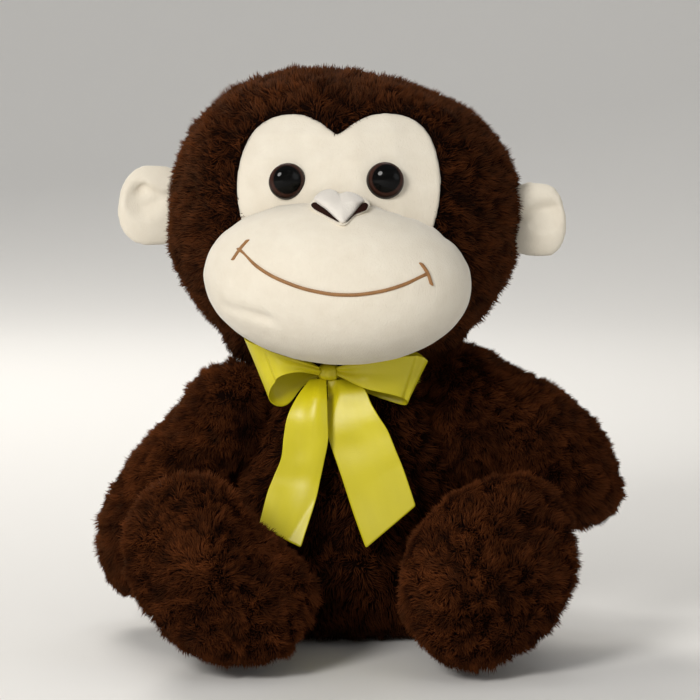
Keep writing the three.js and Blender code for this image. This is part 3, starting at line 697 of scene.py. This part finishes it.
def lumpy(piece, depth, scale, clumps=0.0008):
    """Shallow lumps of the stuffing, and smaller ones where the pile parts into clumps."""
    mesh = piece.data
    start = places(mesh)
    wide = np.array([noise.noise(Vector(p) * scale) for p in start], np.float32)
    small = np.array([noise.noise(Vector(p) * 170) for p in start], np.float32)
    move_to(mesh, start + normals(mesh) * (depth * wide + clumps * small)[:, None])


# %% [markdown]
# The torso is a pear that is widest at the belly. Pile that the arms, legs or tail would
# hide, or that lies on the floor, is left out, which saves tufts for where they show.
# The skin lies a few millimetres inside its solid, so that the tips end at the solid's face.

# %% Torso
limb_roots = {
    "arm_left": Vector((-0.051, 0.002, 0.103)),
    "arm_right": Vector((0.051, 0.002, 0.103)),
    "leg_left": Vector((-0.047, -0.034, 0.032)),
    "leg_right": Vector((0.047, -0.034, 0.032)),
    "tail": Vector((0, 0.048, 0.018)),
}
root_reach = {"arm": 0.017, "leg": 0.024, "tail": 0.009}
neck = Vector((0, 0.002, 0.131))
on_floor = 0.0012
down = np.array([0, 0, -1.0])


def sunk(piece, depth):
    move_to(piece.data, places(piece.data) - depth * normals(piece.data))


def along_skin(flow, skin_normals):
    """The direction of a flow within the skin."""
    return unit(flow - skin_normals * np.sum(flow * skin_normals, 1)[:, None])


def declared(piece, slot, *nodes, fill=None):
    """Hides the solids that a piece replaces. The slot and how full it is (fill) are not used."""
    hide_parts(*nodes)


torso_shape = solid_copy("torso_skin", "torso_stuffing", "seat_pellet_bag")
torso = one_skin("torso_fur", torso_shape, voxel=0.005)
sunk(torso, depth=3.4 * MM)
swollen(torso, cap=0.0025)
subdivided(torso)
lumpy(torso, depth=0.0015, scale=40)
flat_below(torso)
torso_points = places(torso.data)
hidden = torso_points[:, 2] < on_floor
for name, root in limb_roots.items():
    hidden |= np.linalg.norm(torso_points - np.array(root), axis=1) < root_reach[name.split("_")[0]]
marked(torso, ~hidden, along_skin(down, normals(torso.data)))
with_pile(torso, count=52000, length=0.0068)
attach(torso, "torso")
declared(torso, "brown_plush", "torso_skin", "torso_stuffing", "seat_pellet_bag", fill=0.8)

# %% [markdown]
# The neck is a short stuffed ball between torso and head. It turns with the head inside the
# pile of both, so no gap opens behind the chin. It has pile only in a band at the collar.

# %% Neck
neck_shape = bmesh.new()
bmesh.ops.create_uvsphere(
    neck_shape, u_segments=40, v_segments=24, radius=0.034, matrix=Matrix.Translation(neck)
)
neck_piece = built("neck_fur", neck_shape)
collar, half_band = 0.132, 0.01
band = np.abs(places(neck_piece.data)[:, 2] - collar) < half_band
marked(neck_piece, band, np.tile(down, (len(band), 1)))
with_pile(neck_piece, count=9000, length=0.0068)
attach(neck_piece, "neck")
declared(neck_piece, "brown_plush", "neck_stuffing", fill=0.9)

# %% [markdown]
# Each arm is sewn to the shoulder. A ball at the shoulder fills the seam, as the pile does
# on the real toy. The right hand is lifted a little, because the photo shows it higher than
# its solid.

# %% Arms
torso_tree = tree_of(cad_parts["torso_skin"].data)


def outside_torso(points, sunk_in=0.004):
    return distance_to(torso_tree, points) > -sunk_in


def limb_comb(points, skin_normals, root, gravity=0.5):
    return along_skin(unit(points - np.array(root)) + gravity * down, skin_normals)


def add_ball(shape, centre, radius):
    bmesh.ops.create_icosphere(
        shape, subdivisions=3, radius=radius, matrix=Matrix.Translation(Vector(centre))
    )


def hand_raised(arm, lift=0.0075):
    """Lifts the right hand, by more where it lies lower."""
    start = places(arm.data)
    hand = np.clip((start[:, 0] - 0.08) / 0.02, 0, 1)
    start[:, 2] += lift * hand * np.clip((0.076 - start[:, 2]) / 0.036, 0, 1)
    move_to(arm.data, start)


def make_arm(side, fillers, count):
    name = f"arm_{side}"
    shape = solid_copy(f"{name}_skin", f"{name}_stuffing")
    for centre, radius in fillers:
        add_ball(shape, centre, radius)
    arm = one_skin(f"{name}_fur", shape, voxel=0.004, rounds=10)
    sunk(arm, depth=0.0016)
    swollen(arm, cap=0.002)
    subdivided(arm)
    if side == "right":
        hand_raised(arm)
    lumpy(arm, depth=0.0015, scale=45)
    points = places(arm.data)
    root = limb_roots[name]
    marked(arm, outside_torso(points), limb_comb(points, normals(arm.data), root))
    with_pile(arm, count, length=0.0055)
    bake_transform(arm)
    declared(arm, "brown_plush", f"{name}_skin", f"{name}_stuffing", fill=0.7)


make_arm("left", [((-0.053, 0.001, 0.1005), 0.0285)], count=54000)
make_arm("right", [((0.053, 0.001, 0.107), 0.029), ((0.061, -0.01, 0.089), 0.023)], count=52000)

# %% [markdown]
# The legs point forward and end in broad feet that splay outwards. The same brown plush
# covers the soles, with its pile brushed outwards from the middle of the sole.

# %% Legs
def rounded(leg, side):
    """Rounds the inner part of a foot back, and on the left one lowers its inner shoulder."""
    out = -1 if side == "left" else 1
    start = places(leg.data)
    front = np.clip((-start[:, 1] - 0.075) / 0.04, 0, 1)
    inner = np.clip((0.062 - out * start[:, 0]) / 0.045, 0, 1)
    upper = np.clip((start[:, 2] - 0.035) / 0.035, 0, 1)
    start[:, 1] += 0.016 * front * inner**2
    if side == "left":
        start[:, 2] -= 0.018 * front * upper * np.clip((0.062 + start[:, 0]) / 0.018, 0, 1)
    move_to(leg.data, start)


def make_leg(side, count):
    name = f"leg_{side}"
    shape = solid_copy(f"{name}_skin", f"{name}_stuffing", f"{name}_sole")
    leg = one_skin(f"{name}_fur", shape, voxel=0.004, rounds=10)
    sunk(leg, depth=0.0018)
    swollen(leg, cap=0.0025)
    subdivided(leg)
    rounded(leg, side)
    lumpy(leg, depth=0.0018, scale=42)
    flat_below(leg)
    points = places(leg.data)
    skin_normals = normals(leg.data)
    root = limb_roots[name]
    low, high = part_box(f"{name}_sole")
    fan = along_skin(unit(points - np.array((low + high) / 2)) + 0.5 * down, skin_normals)
    on_sole = np.clip((-skin_normals[:, 1] - 0.5) * 3, 0, 1)[:, None]
    comb = 0.45 * fan * on_sole + limb_comb(points, skin_normals, root) * (1 - on_sole)
    marked(leg, outside_torso(points) & (points[:, 2] > on_floor), comb)
    with_pile(leg, count, length=0.0055)
    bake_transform(leg)
    declared(leg, "brown_plush", f"{name}_skin", f"{name}_stuffing", f"{name}_sole", fill=0.8)


make_leg("left", count=72000)
make_leg("right", count=68000)

# %% [markdown]
# The tail lies on the surface behind the toy. The photograph doesn't show it, so it is the
# plain stuffed tube that such a toy has.

# %% Tail
tail = one_skin("tail_fur", solid_copy("tail_skin", "tail_stuffing"), voxel=0.0025, rounds=6)
sunk(tail, depth=0.003)
subdivided(tail)
flat_below(tail)
tail_root = limb_roots["tail"]
tail_points = places(tail.data)
tail_shows = outside_torso(tail_points) & (tail_points[:, 2] > 0.001)
marked(tail, tail_shows, limb_comb(tail_points, normals(tail.data), tail_root, gravity=0.0))
with_pile(tail, count=14000, length=0.006)
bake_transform(tail)
declared(tail, "brown_plush", "tail_skin", "tail_stuffing", fill=0.7)

# %% [markdown]
# The head's own frame is turned a little about the neck. Positions on the face are easier to
# write in that frame, so a small helper turns them into the toy's frame.

# %% Head frame
head_turn = Euler((0, math.radians(-0.6), math.radians(-5)), "XYZ").to_matrix()


def in_head(x, y, z):
    """A place in the head's own frame, in millimetres, as a place on the toy in metres."""
    return neck + head_turn @ (Vector((x, y, z)) * MM - neck)


# %% [markdown]
# The head's shell is filled out at the chin, with a flat ball and a small one on each side.
# The photo shows a lopsided crown, fuller at the left and lower at the right, and a full left
# cheek, so the shell is moved that way wherever the face isn't sewn in. No pile grows under
# the face and the muzzle. Round them it is combed outwards, and only its edge leans in.

# %% Head plush
panel_tree = tree_of(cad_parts["face_panel"].data)
muzzle_tree = tree_of(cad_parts["muzzle_skin"].data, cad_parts["muzzle_stuffing"].data)


def lopsided(piece):
    """Moves crown and cheeks to the photo's outline. Places and rises are in mm."""
    start = places(piece.data)
    off_panel = np.clip(distance_to(panel_tree, start, 0.03) / 0.022, 0, 1)
    across = start[:, 0] * 1000
    up = start[:, 2] * 1000
    crown_places = (-85, -62, -43, -24, -5, 14, 34, 53, 80)
    crown_rises = (4.5, 5, 3.2, 1, -1.2, -3, -5, -4.2, -2)
    rise = np.interp(across, crown_places, crown_rises)
    start[:, 2] += rise * MM * np.clip((up - 190) / 60, 0, 1) * off_panel
    cheek = np.interp(up, (140, 170, 205, 250), (1, 1, 0.5, 0.6))
    start[:, 0] -= 0.0045 * cheek * np.clip(-across / 80, 0, 1)
    start[:, 0] -= 0.0014 * np.clip(across / 70, 0, 1)
    move_to(piece.data, start)


def covered(point, normal, tree, reach=0.012):
    """Whether another piece lies over a place of a skin."""
    start = Vector(point) - 0.004 * Vector(normal)
    return tree.ray_cast(start, Vector(normal), reach)[0] is not None


head_shape = solid_copy("head_skin", "head_stuffing", "face_panel")
chin = Matrix.Translation(in_head(1, 8, 147)) @ Matrix.Diagonal((0.061, 0.046, 0.02, 1))
bmesh.ops.create_icosphere(head_shape, subdivisions=4, radius=1, matrix=chin)
for place in (in_head(-46, 4, 137.5), in_head(42, 4, 138)):
    add_ball(head_shape, place, radius=0.0135)
head = one_skin("head_fur", head_shape, voxel=0.0045)
sunk(head, depth=0.0028)
swollen(head, cap=0.0015)
lopsided(head)
subdivided(head)
lumpy(head, depth=0.0012, scale=40)
head_points = places(head.data)
head_normals = normals(head.data)
skin = zip(head_points, head_normals)
bare = np.array([covered(p, n, panel_tree) or covered(p, n, muzzle_tree) for p, n in skin])
bare |= distance_to(muzzle_tree, head_points) < 0.0
from_face = along_skin(unit(head_points - np.array(in_head(0, -60, 205))), head_normals)
lean_out = np.clip(distance_to(panel_tree, head_points, 0.02) / 0.014 - 0.45, -0.45, 1)
marked(head, ~bare, from_face * lean_out[:, None])
with_pile(head, count=76000, length=0.0053)
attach(head, "head")
declared(head, "brown_plush", "head_skin", "head_stuffing", fill=0.9)

# %% [markdown]
# The face is a flat heart of cream pile that is sewn into the plush. The muzzle is a separate
# stuffed cushion, wider than high. A short dart takes in its lower left side, and the cloth
# puckers at the end of the dart. Such marks are drawn as lines in the picture, and helpers
# find the places on a mesh that the camera sees there.

# %% Face panel and muzzle
mm_per_pixel = 0.48
picture_middle = 350
camera_away = 1500
rise_cos, rise_sin = 0.9936, 0.1132
aim_level = 132.8


def seen_at(px, py, forward):
    """The place on a plane y = forward (mm) that the camera sees at a place in the picture."""
    scale = mm_per_pixel * (camera_away + rise_cos * forward) / camera_away
    x = (px - picture_middle) * scale
    height = aim_level + (picture_middle - py) * scale
    return Vector((x, forward, (height - rise_sin * forward) / rise_cos)) * MM


def on_surface(tree, point):
    """The point of a mesh that the camera meets first in the direction of a place."""
    eye = camera.location
    hit = tree.ray_cast(eye, (point - eye).normalized())
    return hit[0] if hit[0] is not None else point


def drawn_on(tree, line, forward):
    """A line in the picture as places on a mesh."""
    return [on_surface(tree, seen_at(px, py, forward)) for px, py in line]


def finished(piece, material):
    """Smooth shading, a UV map and the material of a piece without pile."""
    smooth_shaded(piece)
    face_cells(piece.data, 0.01, 0.99)
    piece.data.materials.append(material)


def creased(piece, line, depth, width):
    """Draws the skin in along a line of places, deepest in its middle."""
    mesh = piece.data
    start = places(mesh)
    away = np.full(len(start), 1.0)
    along = np.zeros(len(start))
    for i, (a, b) in enumerate(zip(line, line[1:])):
        a, b = np.array(a), np.array(b)
        t = np.clip(((start - a) @ (b - a)) / ((b - a) @ (b - a)), 0, 1)
        gap = np.linalg.norm(start - (a + t[:, None] * (b - a)), axis=1)
        closer = gap < away
        away[closer] = gap[closer]
        along[closer] = (i + t[closer]) / (len(line) - 1)
    pull = depth * np.exp(-((away / width) ** 2)) * (0.4 + 0.6 * along)
    move_to(mesh, start - normals(mesh) * pull[:, None])


panel = one_skin("face_panel_cloth", solid_copy("face_panel"), voxel=0.0011, rounds=4)
finished(panel, cream)
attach(panel, "head")
declared(panel, "cream_velboa", "face_panel")

muzzle = one_skin("muzzle_cushion", solid_copy("muzzle_skin", "muzzle_stuffing"), voxel=0.0032)
swollen(muzzle, cap=0.0012)
subdivided(muzzle)
muzzle_surface = tree_of(muzzle.data)
dart = drawn_on(muzzle_surface, [(209, 299), (225, 307), (245, 312), (262, 318)], forward=-90)
creased(muzzle, dart, depth=0.0014, width=0.0028)
pucker = drawn_on(muzzle_surface, [(262, 316), (268, 320)], forward=-95)
creased(muzzle, pucker, depth=0.0011, width=0.0032)
finished(muzzle, cream)
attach(muzzle, "head")
declared(muzzle, "cream_velboa", "muzzle_skin", "muzzle_stuffing", fill=0.9)
print("muzzle faces", len(muzzle.data.polygons))

# %% [markdown]
# The ears are two cream panels that are sewn round the edge and turned, with little stuffing.
# Where an ear is gathered at the head, creases run outwards from its root.

# %% Ears
def make_ear(side, forward, creases, root_end=0.096, inward=0.007):
    name = f"ear_{side}"
    shape = solid_copy(f"{name}_front", f"{name}_back")
    ear = one_skin(f"{name}_cloth", shape, voxel=0.0013, rounds=5)
    subdivided(ear)
    start = places(ear.data)
    from_middle = np.abs(start[:, 0])
    near_root = np.clip((root_end - from_middle) / (root_end - from_middle.min()), 0, 1)
    start[:, 0] -= inward * np.sign(start[:, 0]) * near_root
    move_to(ear.data, start)
    surface = tree_of(ear.data)
    for line, depth, width in creases:
        creased(ear, drawn_on(surface, line, forward), depth, width)
    finished(ear, cream)
    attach(ear, name)
    declared(ear, "cream_velboa", f"{name}_front", f"{name}_back", fill=0.3)


left_creases = [
    ([(139, 187), (142, 190)], 0.0024, 0.0032),
    ([(144, 190), (158, 196), (171, 197)], 0.0017, 0.0023),
    ([(144, 208), (158, 203), (170, 199)], 0.0017, 0.0025),
]
right_creases = [([(561, 206), (549, 209), (535, 212), (522, 217)], 0.0018, 0.0026)]
make_ear("left", forward=10, creases=left_creases)
make_ear("right", forward=-5, creases=right_creases)

# %% [markdown]
# Each eye is a domed plastic button on a shank. A revolved profile gives a rounder dome than
# the plain solid, and an attribute holds how far a point lies from the middle, so the
# material can paint the brown rim round the black.

# %% Eyes
def join_rings(shape, rings, sides):
    """Faces between rings of points. A ring of one point closes an end."""
    for lower, upper in zip(rings, rings[1:]):
        for i in range(sides):
            around = ((lower, i), (lower, i + 1), (upper, i + 1), (upper, i))
            shape.faces.new(list(dict.fromkeys(ring[k % len(ring)] for ring, k in around)))
    bmesh.ops.recalc_face_normals(shape, faces=shape.faces)


def revolved(name, profile, place, out, sides=64):
    shape = bmesh.new()
    turn = out.to_track_quat("Z", "Y").to_matrix()
    angles = np.linspace(0, 2 * math.pi, sides, endpoint=False)
    rings = []
    for radius, rise in profile:
        around = angles if radius else angles[:1]
        spots = [Vector((radius * math.cos(a), radius * math.sin(a), rise)) for a in around]
        rings.append([shape.verts.new(place + turn @ spot) for spot in spots])
    join_rings(shape, rings, sides)
    return built(name, shape)


def eye_axis(side):
    """Middle and outward direction of an eye, from the solid's dome."""
    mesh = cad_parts[f"eye_{side}"].data
    points = places(mesh)
    front = points[points[:, 1] < points[:, 1].min() + 0.0002].mean(0)
    centre = points.mean(0)
    return Vector(front), Vector(front - centre).normalized()


def make_eye_button(side):
    front, out = eye_axis(side)
    radius, dome, rim = 0.0087, 0.0062, 0.0004
    shank, shank_end, back = 0.0022, -0.012, -0.0002
    base = front - dome * out
    profile = [(0, shank_end), (shank, shank_end), (shank, back), (radius - 0.0006, back), (radius, rim)]
    for t in np.linspace(0.12, 1.45, 14):
        profile.append((radius * math.cos(t), rim + (dome - rim) * math.sin(t)))
    profile.append((0, dome))
    eye = revolved(f"eye_{side}_button", profile, base, out)
    offset = places(eye.data) - np.array(base)
    flat = offset - (offset @ np.array(out))[:, None] * np.array(out)
    flat -= radius * np.array([-0.1 if side == "left" else 0.1, 0, 0.2])
    attribute(eye.data, "iris", "FLOAT", np.linalg.norm(flat, axis=1) / radius)
    eye.data.materials.append(eye_black)
    smooth_shaded(eye)
    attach(eye, "head")
    declared(eye, "eye_plastic", f"eye_{side}")


for side in ("left", "right"):
    make_eye_button(side)
    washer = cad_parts[f"eye_washer_{side}"].data
    washer.materials.clear()
    washer.materials.append(washer_plastic)

# %% [markdown]
# The nose is a small heart of white cloth over a little stuffing, with two dark nostrils under
# its wings. Its parts are flat cushions, drawn as closed outlines from the front and domed.
# The right nostril runs on into a thin dark line towards the tip, which is painted shadow
# under its wing.

# %% Nose
def spline_point(a, b, c, d, t):
    """A place between b and c on a smooth curve through four places."""
    bend = (2 * a - 5 * b + 4 * c - d) * t**2
    return 0.5 * (2 * b + (c - a) * t + bend + (3 * b - a - 3 * c + d) * t**3)


def closed_curve(points, count):
    """Places on a smooth closed curve through the given ones."""
    points = np.array(points, float)
    total = len(points)
    found = []
    for step in np.linspace(0, total, count, endpoint=False):
        i = int(step)
        found.append(spline_point(*(points[(i + k) % total] for k in (-1, 0, 1, 2)), step - i))
    return np.array(found)


def make_cushion(name, material, outline, depth, shift=0.0, swell=(), rings=12, sides=88):
    """A domed cushion. Its outline and swellings are places in the picture, its depths mm."""
    shape = bmesh.new()
    edge = closed_curve(outline, sides)
    centre = edge.mean(0)

    def place(spot, rise):
        base = -80 - 0.72 * (spot[1] - 207) - shift
        rise += sum(h * math.exp(-(((spot[0] - x) ** 2 + (spot[1] - y) ** 2) / w**2)) for x, y, w, h in swell)
        return shape.verts.new(seen_at(spot[0], spot[1], base - rise))

    loops = [[place(centre, -8)], [place(spot, -8) for spot in edge]]
    for share in np.linspace(1, 0.08, rings):
        rise = depth * math.sqrt(1 - share**2)
        loops.append([place(centre + share * (spot - centre), rise) for spot in edge])
    loops.append([place(centre, depth)])
    join_rings(shape, loops, sides)
    piece = built(name, shape)
    finished(piece, material)
    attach(piece, "head")
    return piece


lip = [
    (310, 205), (312.5, 201), (320, 195), (341, 200), (360, 197), (368, 201.5), (369.8, 206), (367.5, 210.5),
    (361.5, 214), (355, 217), (347, 224.5), (342, 226), (336.5, 224.5), (325, 218), (313, 211),
]
make_cushion("nose_lip", cream, lip, depth=0.8)
wings = [
    (314.5, 201), (319.5, 193.5), (328, 190), (335, 191.3), (339.6, 194.4), (346.6, 192.4), (353.6, 193.8),
    (359.5, 196.5), (364, 201.5), (359.5, 205.5), (355, 212), (346.5, 221.5), (342.5, 223.8),
    (338.5, 221.5), (327, 211),
]
wing_swell = [(326, 201, 8, 1.8), (354, 202, 7, 1.6), (340, 199, 5, -1.2)]
nose = make_cushion("nose_cushion", nose_white, wings, depth=5.5, shift=1.0, swell=wing_swell)
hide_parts("nose")
openings = {
    "left": [
        (311.3, 205.6), (314, 203.2), (318.5, 204.3), (326, 210.3), (333, 216.6), (339, 222.6),
        (330, 218.2), (321, 213.4), (313.8, 209.3),
    ],
    # The right outline's pointed lower end, down towards the nose's tip, is painted shadow under the wing.
    "right": [
        (368, 206), (366, 203.6), (362.3, 204), (359, 207.4), (353.5, 214.5), (346.5, 222.6),
        (355, 215.3), (361, 212.8), (366, 210.6),
    ],
}
for side, outline in openings.items():
    make_cushion(f"nostril_{side}", nostril_and_shadow_brown, outline, depth=0.5, shift=1.1)

# %% [markdown]
# The smile is embroidered: short slanted stitches that overlap along an arc and along a short
# bar across each end. A Geometry Nodes tree places them along a curve that lies on the
# muzzle.

# %% Smile
def make_stitch_tree():
    sizes = {"Spacing": 0.0007, "Length": 0.0013, "Thickness": 0.00054, "Slant": 0.65}
    tree, start, end = geometry_group("stitches", sizes)
    asked = start.outputs
    settings = {"mode": "LENGTH"}
    points = added(
        tree, "GeometryNodeCurveToPoints", settings, Curve=asked["Geometry"], Length=asked["Spacing"]
    ).outputs
    ball = added(tree, "GeometryNodeMeshUVSphere", Segments=8, Rings=6, Radius=1)
    slant = added(tree, "ShaderNodeCombineXYZ", X=asked["Slant"])
    rotation = turned(tree, points["Rotation"], slant.outputs[0])
    thick = asked["Thickness"]
    size = added(tree, "ShaderNodeCombineXYZ", X=thick, Y=thick, Z=asked["Length"])
    placed = added(
        tree, "GeometryNodeInstanceOnPoints",
        Points=points["Points"], Instance=ball.outputs["Mesh"], Rotation=rotation, Scale=size.outputs[0],
    )
    real_mesh(tree, placed.outputs["Instances"], asked["Material"], end)
    return tree


stitch_tree = make_stitch_tree()
muzzle_surface = tree_of(muzzle.data)
smile_lines = [
    [(239, 249), (262, 270), (290, 284), (318, 292), (344, 295), (372, 293), (400, 286), (427, 274)],
    [(248, 241), (241, 249), (234, 259)],
    [(421, 264), (427, 273), (431, 284)],
]
smile_curve = bpy.data.curves.new("smile_line", "CURVE")
smile_curve.dimensions = "3D"
for line in smile_lines:
    spline = smile_curve.splines.new("BEZIER")
    spline.bezier_points.add(len(line) - 1)
    for knot, place in zip(spline.bezier_points, drawn_on(muzzle_surface, line, forward=-95)):
        knot.co = place + Vector((0, -0.0003, 0))
        knot.handle_left_type = knot.handle_right_type = "AUTO"
smile_path = linked("smile_line", smile_curve)
stitches = grown_from(smile_path, stitch_tree, Material=thread_brown)
bpy.data.objects.remove(smile_path)
smile = linked("smile_stitches", stitches)
smooth_shaded(smile)
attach(smile, "head")
declared(smile, "brown_thread", "smile_stitching")
print("smile faces", len(stitches.polygons))

# %% [markdown]
# The bow is tied from one satin ribbon, 25 mm wide. Each stretch of ribbon is a surface between
# two edge lines. The lines are smooth curves through a few places, so a loop can open at its
# lower edge while its upper edge stays closed.

# %% Ribbon helper
def curve_through(points, count):
    """Evenly numbered places on a smooth curve through the given ones."""
    points = [np.array(p, float) for p in points]
    padded = [2 * points[0] - points[1], *points, 2 * points[-1] - points[-2]]
    found = []
    for step in np.linspace(0, len(points) - 1, count):
        i = min(int(step), len(points) - 2)
        found.append(spline_point(*padded[i : i + 4], step - i))
    return np.array(found)


def ribbon_between(name, first_edge, second_edge, relief=None, rows=72, columns=20, thickness=0.0004):
    """A ribbon between two edge lines. Relief gives its folds in mm, from two shares.

    The first share runs along the ribbon and the second across it.
    """
    one = curve_through(first_edge, rows)
    two = curve_through(second_edge, rows)
    shape = bmesh.new()
    grid = []
    for row in range(rows):
        before, after = max(row - 1, 0), min(row + 1, rows - 1)
        along = one[after] + two[after] - one[before] - two[before]
        across = two[row] - one[row]
        out = np.cross(along, across)
        out = out / max(np.linalg.norm(out), 1e-9)
        line = []
        for column in range(columns + 1):
            t = column / columns
            rise = relief(row / (rows - 1), t) if relief else 0
            line.append(shape.verts.new(one[row] + t * across + rise * MM * out))
        grid.append(line)
    uv = shape.loops.layers.uv.new("OFBake")
    for row in range(rows - 1):
        for column in range(columns):
            corners = [(row, column), (row, column + 1), (row + 1, column + 1), (row + 1, column)]
            face = shape.faces.new([grid[r][c] for r, c in corners])
            for loop, (r, c) in zip(face.loops, corners):
                loop[uv].uv = (c / columns * 0.9 + 0.05, r / (rows - 1) * 0.9 + 0.05)
    piece = built(name, shape)
    piece.data.materials.append(satin)
    modify(piece, "SUBSURF", levels=1, render_levels=1)
    modify(piece, "SOLIDIFY", thickness=thickness, offset=0)
    applied(piece)
    smooth_shaded(piece)
    length = float(np.linalg.norm(np.diff((one + two) / 2, axis=0), axis=1).sum())
    width = float(np.linalg.norm(two - one, axis=1).mean())
    print(name, "length", round(length * 1000), "mm, mean width", round(width * 1000, 1), "mm")
    return piece, length, width


def declare_ribbon(made, body, node):
    piece, length, width = made
    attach(piece, body)
    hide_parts(node)


def seen(*line):
    return [seen_at(*spot) for spot in line]


def bump_at(value, middle, width, height):
    return height * math.exp(-(((value - middle) / width) ** 2))


def wrinkles(share, t, seed):
    return 0.25 * noise.noise(Vector((share * 7, t * 2.5, seed)))


print("25 mm at the chest are", round(25 / mm_per_pixel), "pixels")


# %% [markdown]
# A loop leaves the knot at its back, turns round at the outer end and comes back in front.
# A sharp ridge, where the satin has been pressed, runs down beside the turn.

# %% Bow loops
def loop_relief(ridge, seed):
    """The pleats, the pressed ridge and the wrinkles of a loop."""

    def relief(share, t):
        pleats = 0.7 * math.sin(3 * math.pi * t) * max(0, abs(share - 0.55) / 0.45 - 0.3)
        return pleats + bump_at(share, 0.64, 0.03, ridge) + wrinkles(share, t, seed)

    return relief


left_top = seen(
    (321, 368, -36), (300, 356, -33), (275, 343, -35), (253, 335.5, -38.5), (244.5, 338.5, -43),
    (257, 345.5, -50.5), (278, 354, -53.5), (300, 361, -52.5), (320, 367.5, -46),
)
left_low = seen(
    (321, 376, -36), (304, 385, -37.5), (289, 403.5, -40.5), (277, 406, -43), (269, 398, -47),
    (273, 384, -52), (282, 375.5, -54.5), (300, 372, -52.5), (320, 375, -46),
)

declare_ribbon(
    ribbon_between("bow_loop_left_satin", left_top, left_low, loop_relief(ridge=1.5, seed=1.3)),
    "torso", "bow_loop_left",
)
right_top = seen(
    (337, 368, -36), (360, 358, -33), (390, 352, -35), (415, 351.5, -38), (427.5, 361, -43),
    (421, 356.5, -48.5), (400, 356.5, -52), (368, 360.5, -53), (337, 367, -46),
)
right_low = seen(
    (337, 377, -36), (352, 386, -36.5), (372, 395, -38), (392, 402, -41), (405, 405, -44.5),
    (406.5, 400, -49), (391, 394.5, -52.5), (364, 388, -53), (337, 375, -46),
)

declare_ribbon(
    ribbon_between("bow_loop_right_satin", right_top, right_low, loop_relief(ridge=-1.5, seed=4.1)),
    "torso", "bow_loop_right",
)

# %% [markdown]
# The ends stand off the chest below the knot and then hang. The slope up there catches the
# light. The left one has a soft ridge and a corner that curls, the right one is turned over
# at its upper left.

# %% Ribbon ends
left_outer = seen(
    (310, 379, -42), (297, 397, -50), (287.5, 416, -54.5), (283.5, 437, -55.5), (281, 458, -56),
    (273, 478, -56.5), (266.5, 495, -59.5), (258.5, 526, -66),
)
left_inner = seen(
    (326, 379, -43), (327, 397, -50.5), (327.5, 418, -54.5), (328, 440, -55.5), (324, 462, -56.5),
    (320, 481, -57.5), (315, 503, -61), (300, 549.5, -67.5),
)


def left_end_relief(share, t):
    ridge = bump_at(t, 0.66 + 0.2 * share, 0.34, 4.6) * min(1, share * 6) * max(0, 1 - share / 0.9)
    corner = max(0, (share - 0.84) / 0.16 + (t - 0.7) / 0.3 - 1)
    return ridge + 2.4 * corner + wrinkles(share, t, 2.2)


declare_ribbon(
    ribbon_between("ribbon_end_left_satin", left_outer, left_inner, left_end_relief),
    "ribbon_tail_left", "ribbon_tail_left",
)
right_inner = seen(
    (327.7, 380, -42), (325.5, 397, -46.5), (325.8, 415, -49), (327.7, 434, -51.5), (331.5, 449, -53),
    (341, 476, -55), (353, 513, -57.5), (366, 549.5, -61),
)
right_outer = seen(
    (352, 380, -43), (364, 388, -50), (371.5, 404, -53.5), (379, 417, -56), (387, 430, -58),
    (395.5, 450, -59.5), (405, 473, -60.5), (416.5, 506.5, -62),
)


def right_end_relief(share, t):
    middle = 0.5 * (1 - share / 0.42)
    turned = -12 * max(0, middle - t) * min(1, share * 8)
    waves = bump_at(share, 0.6, 0.1, -0.8) + 1.6 * max(0, share - 0.8) * t / 0.2
    return turned + waves + wrinkles(share, t, 5.7)


declare_ribbon(
    ribbon_between("ribbon_end_right_satin", right_inner, right_outer, right_end_relief),
    "ribbon_tail_right", "ribbon_tail_right",
)

# %% [markdown]
# The knot is the ribbon wrapped once round the middle, so it has soft upright pleats.
# The band runs round the collar and hides in the pile.

# %% Knot and band
def make_knot():
    low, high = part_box("bow_knot")
    middle = (low + high) / 2 + Vector((-0.0005, 0, 0.0024))
    size = (high - low) / 2
    shape = bmesh.new()
    bmesh.ops.create_uvsphere(shape, u_segments=48, v_segments=24, radius=1)
    for vert in shape.verts:
        x, y, z = vert.co
        boxed = Vector([math.copysign(abs(c) ** 0.75, c) for c in (x, y, z)])
        pleat = 1 + 0.07 * math.cos(9 * x) * (1 - abs(z))
        depth = boxed.y * size.y * pleat - 0.001
        vert.co = middle + Vector((boxed.x * size.x * 0.92, depth, boxed.z * size.z * 0.85))
    knot = built("bow_knot_satin", shape)
    finished(knot, satin)
    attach(knot, "torso")
    declared(knot, "lime_satin", "bow_knot")


make_knot()


def make_band():
    angles = np.linspace(0, 2 * math.pi, 25)
    around = [(35.8 * math.sin(a), 1 - 32.8 * math.cos(a)) for a in angles]
    top = [Vector((x, y, 126.5)) * MM for x, y in around]
    low = [Vector((1.03 * x, 1.03 * (y - 2) + 2, 119.5)) * MM for x, y in around]
    band = ribbon_between("ribbon_band_satin", top, low, columns=4)
    declare_ribbon(band, "torso", "ribbon_band")


make_band()
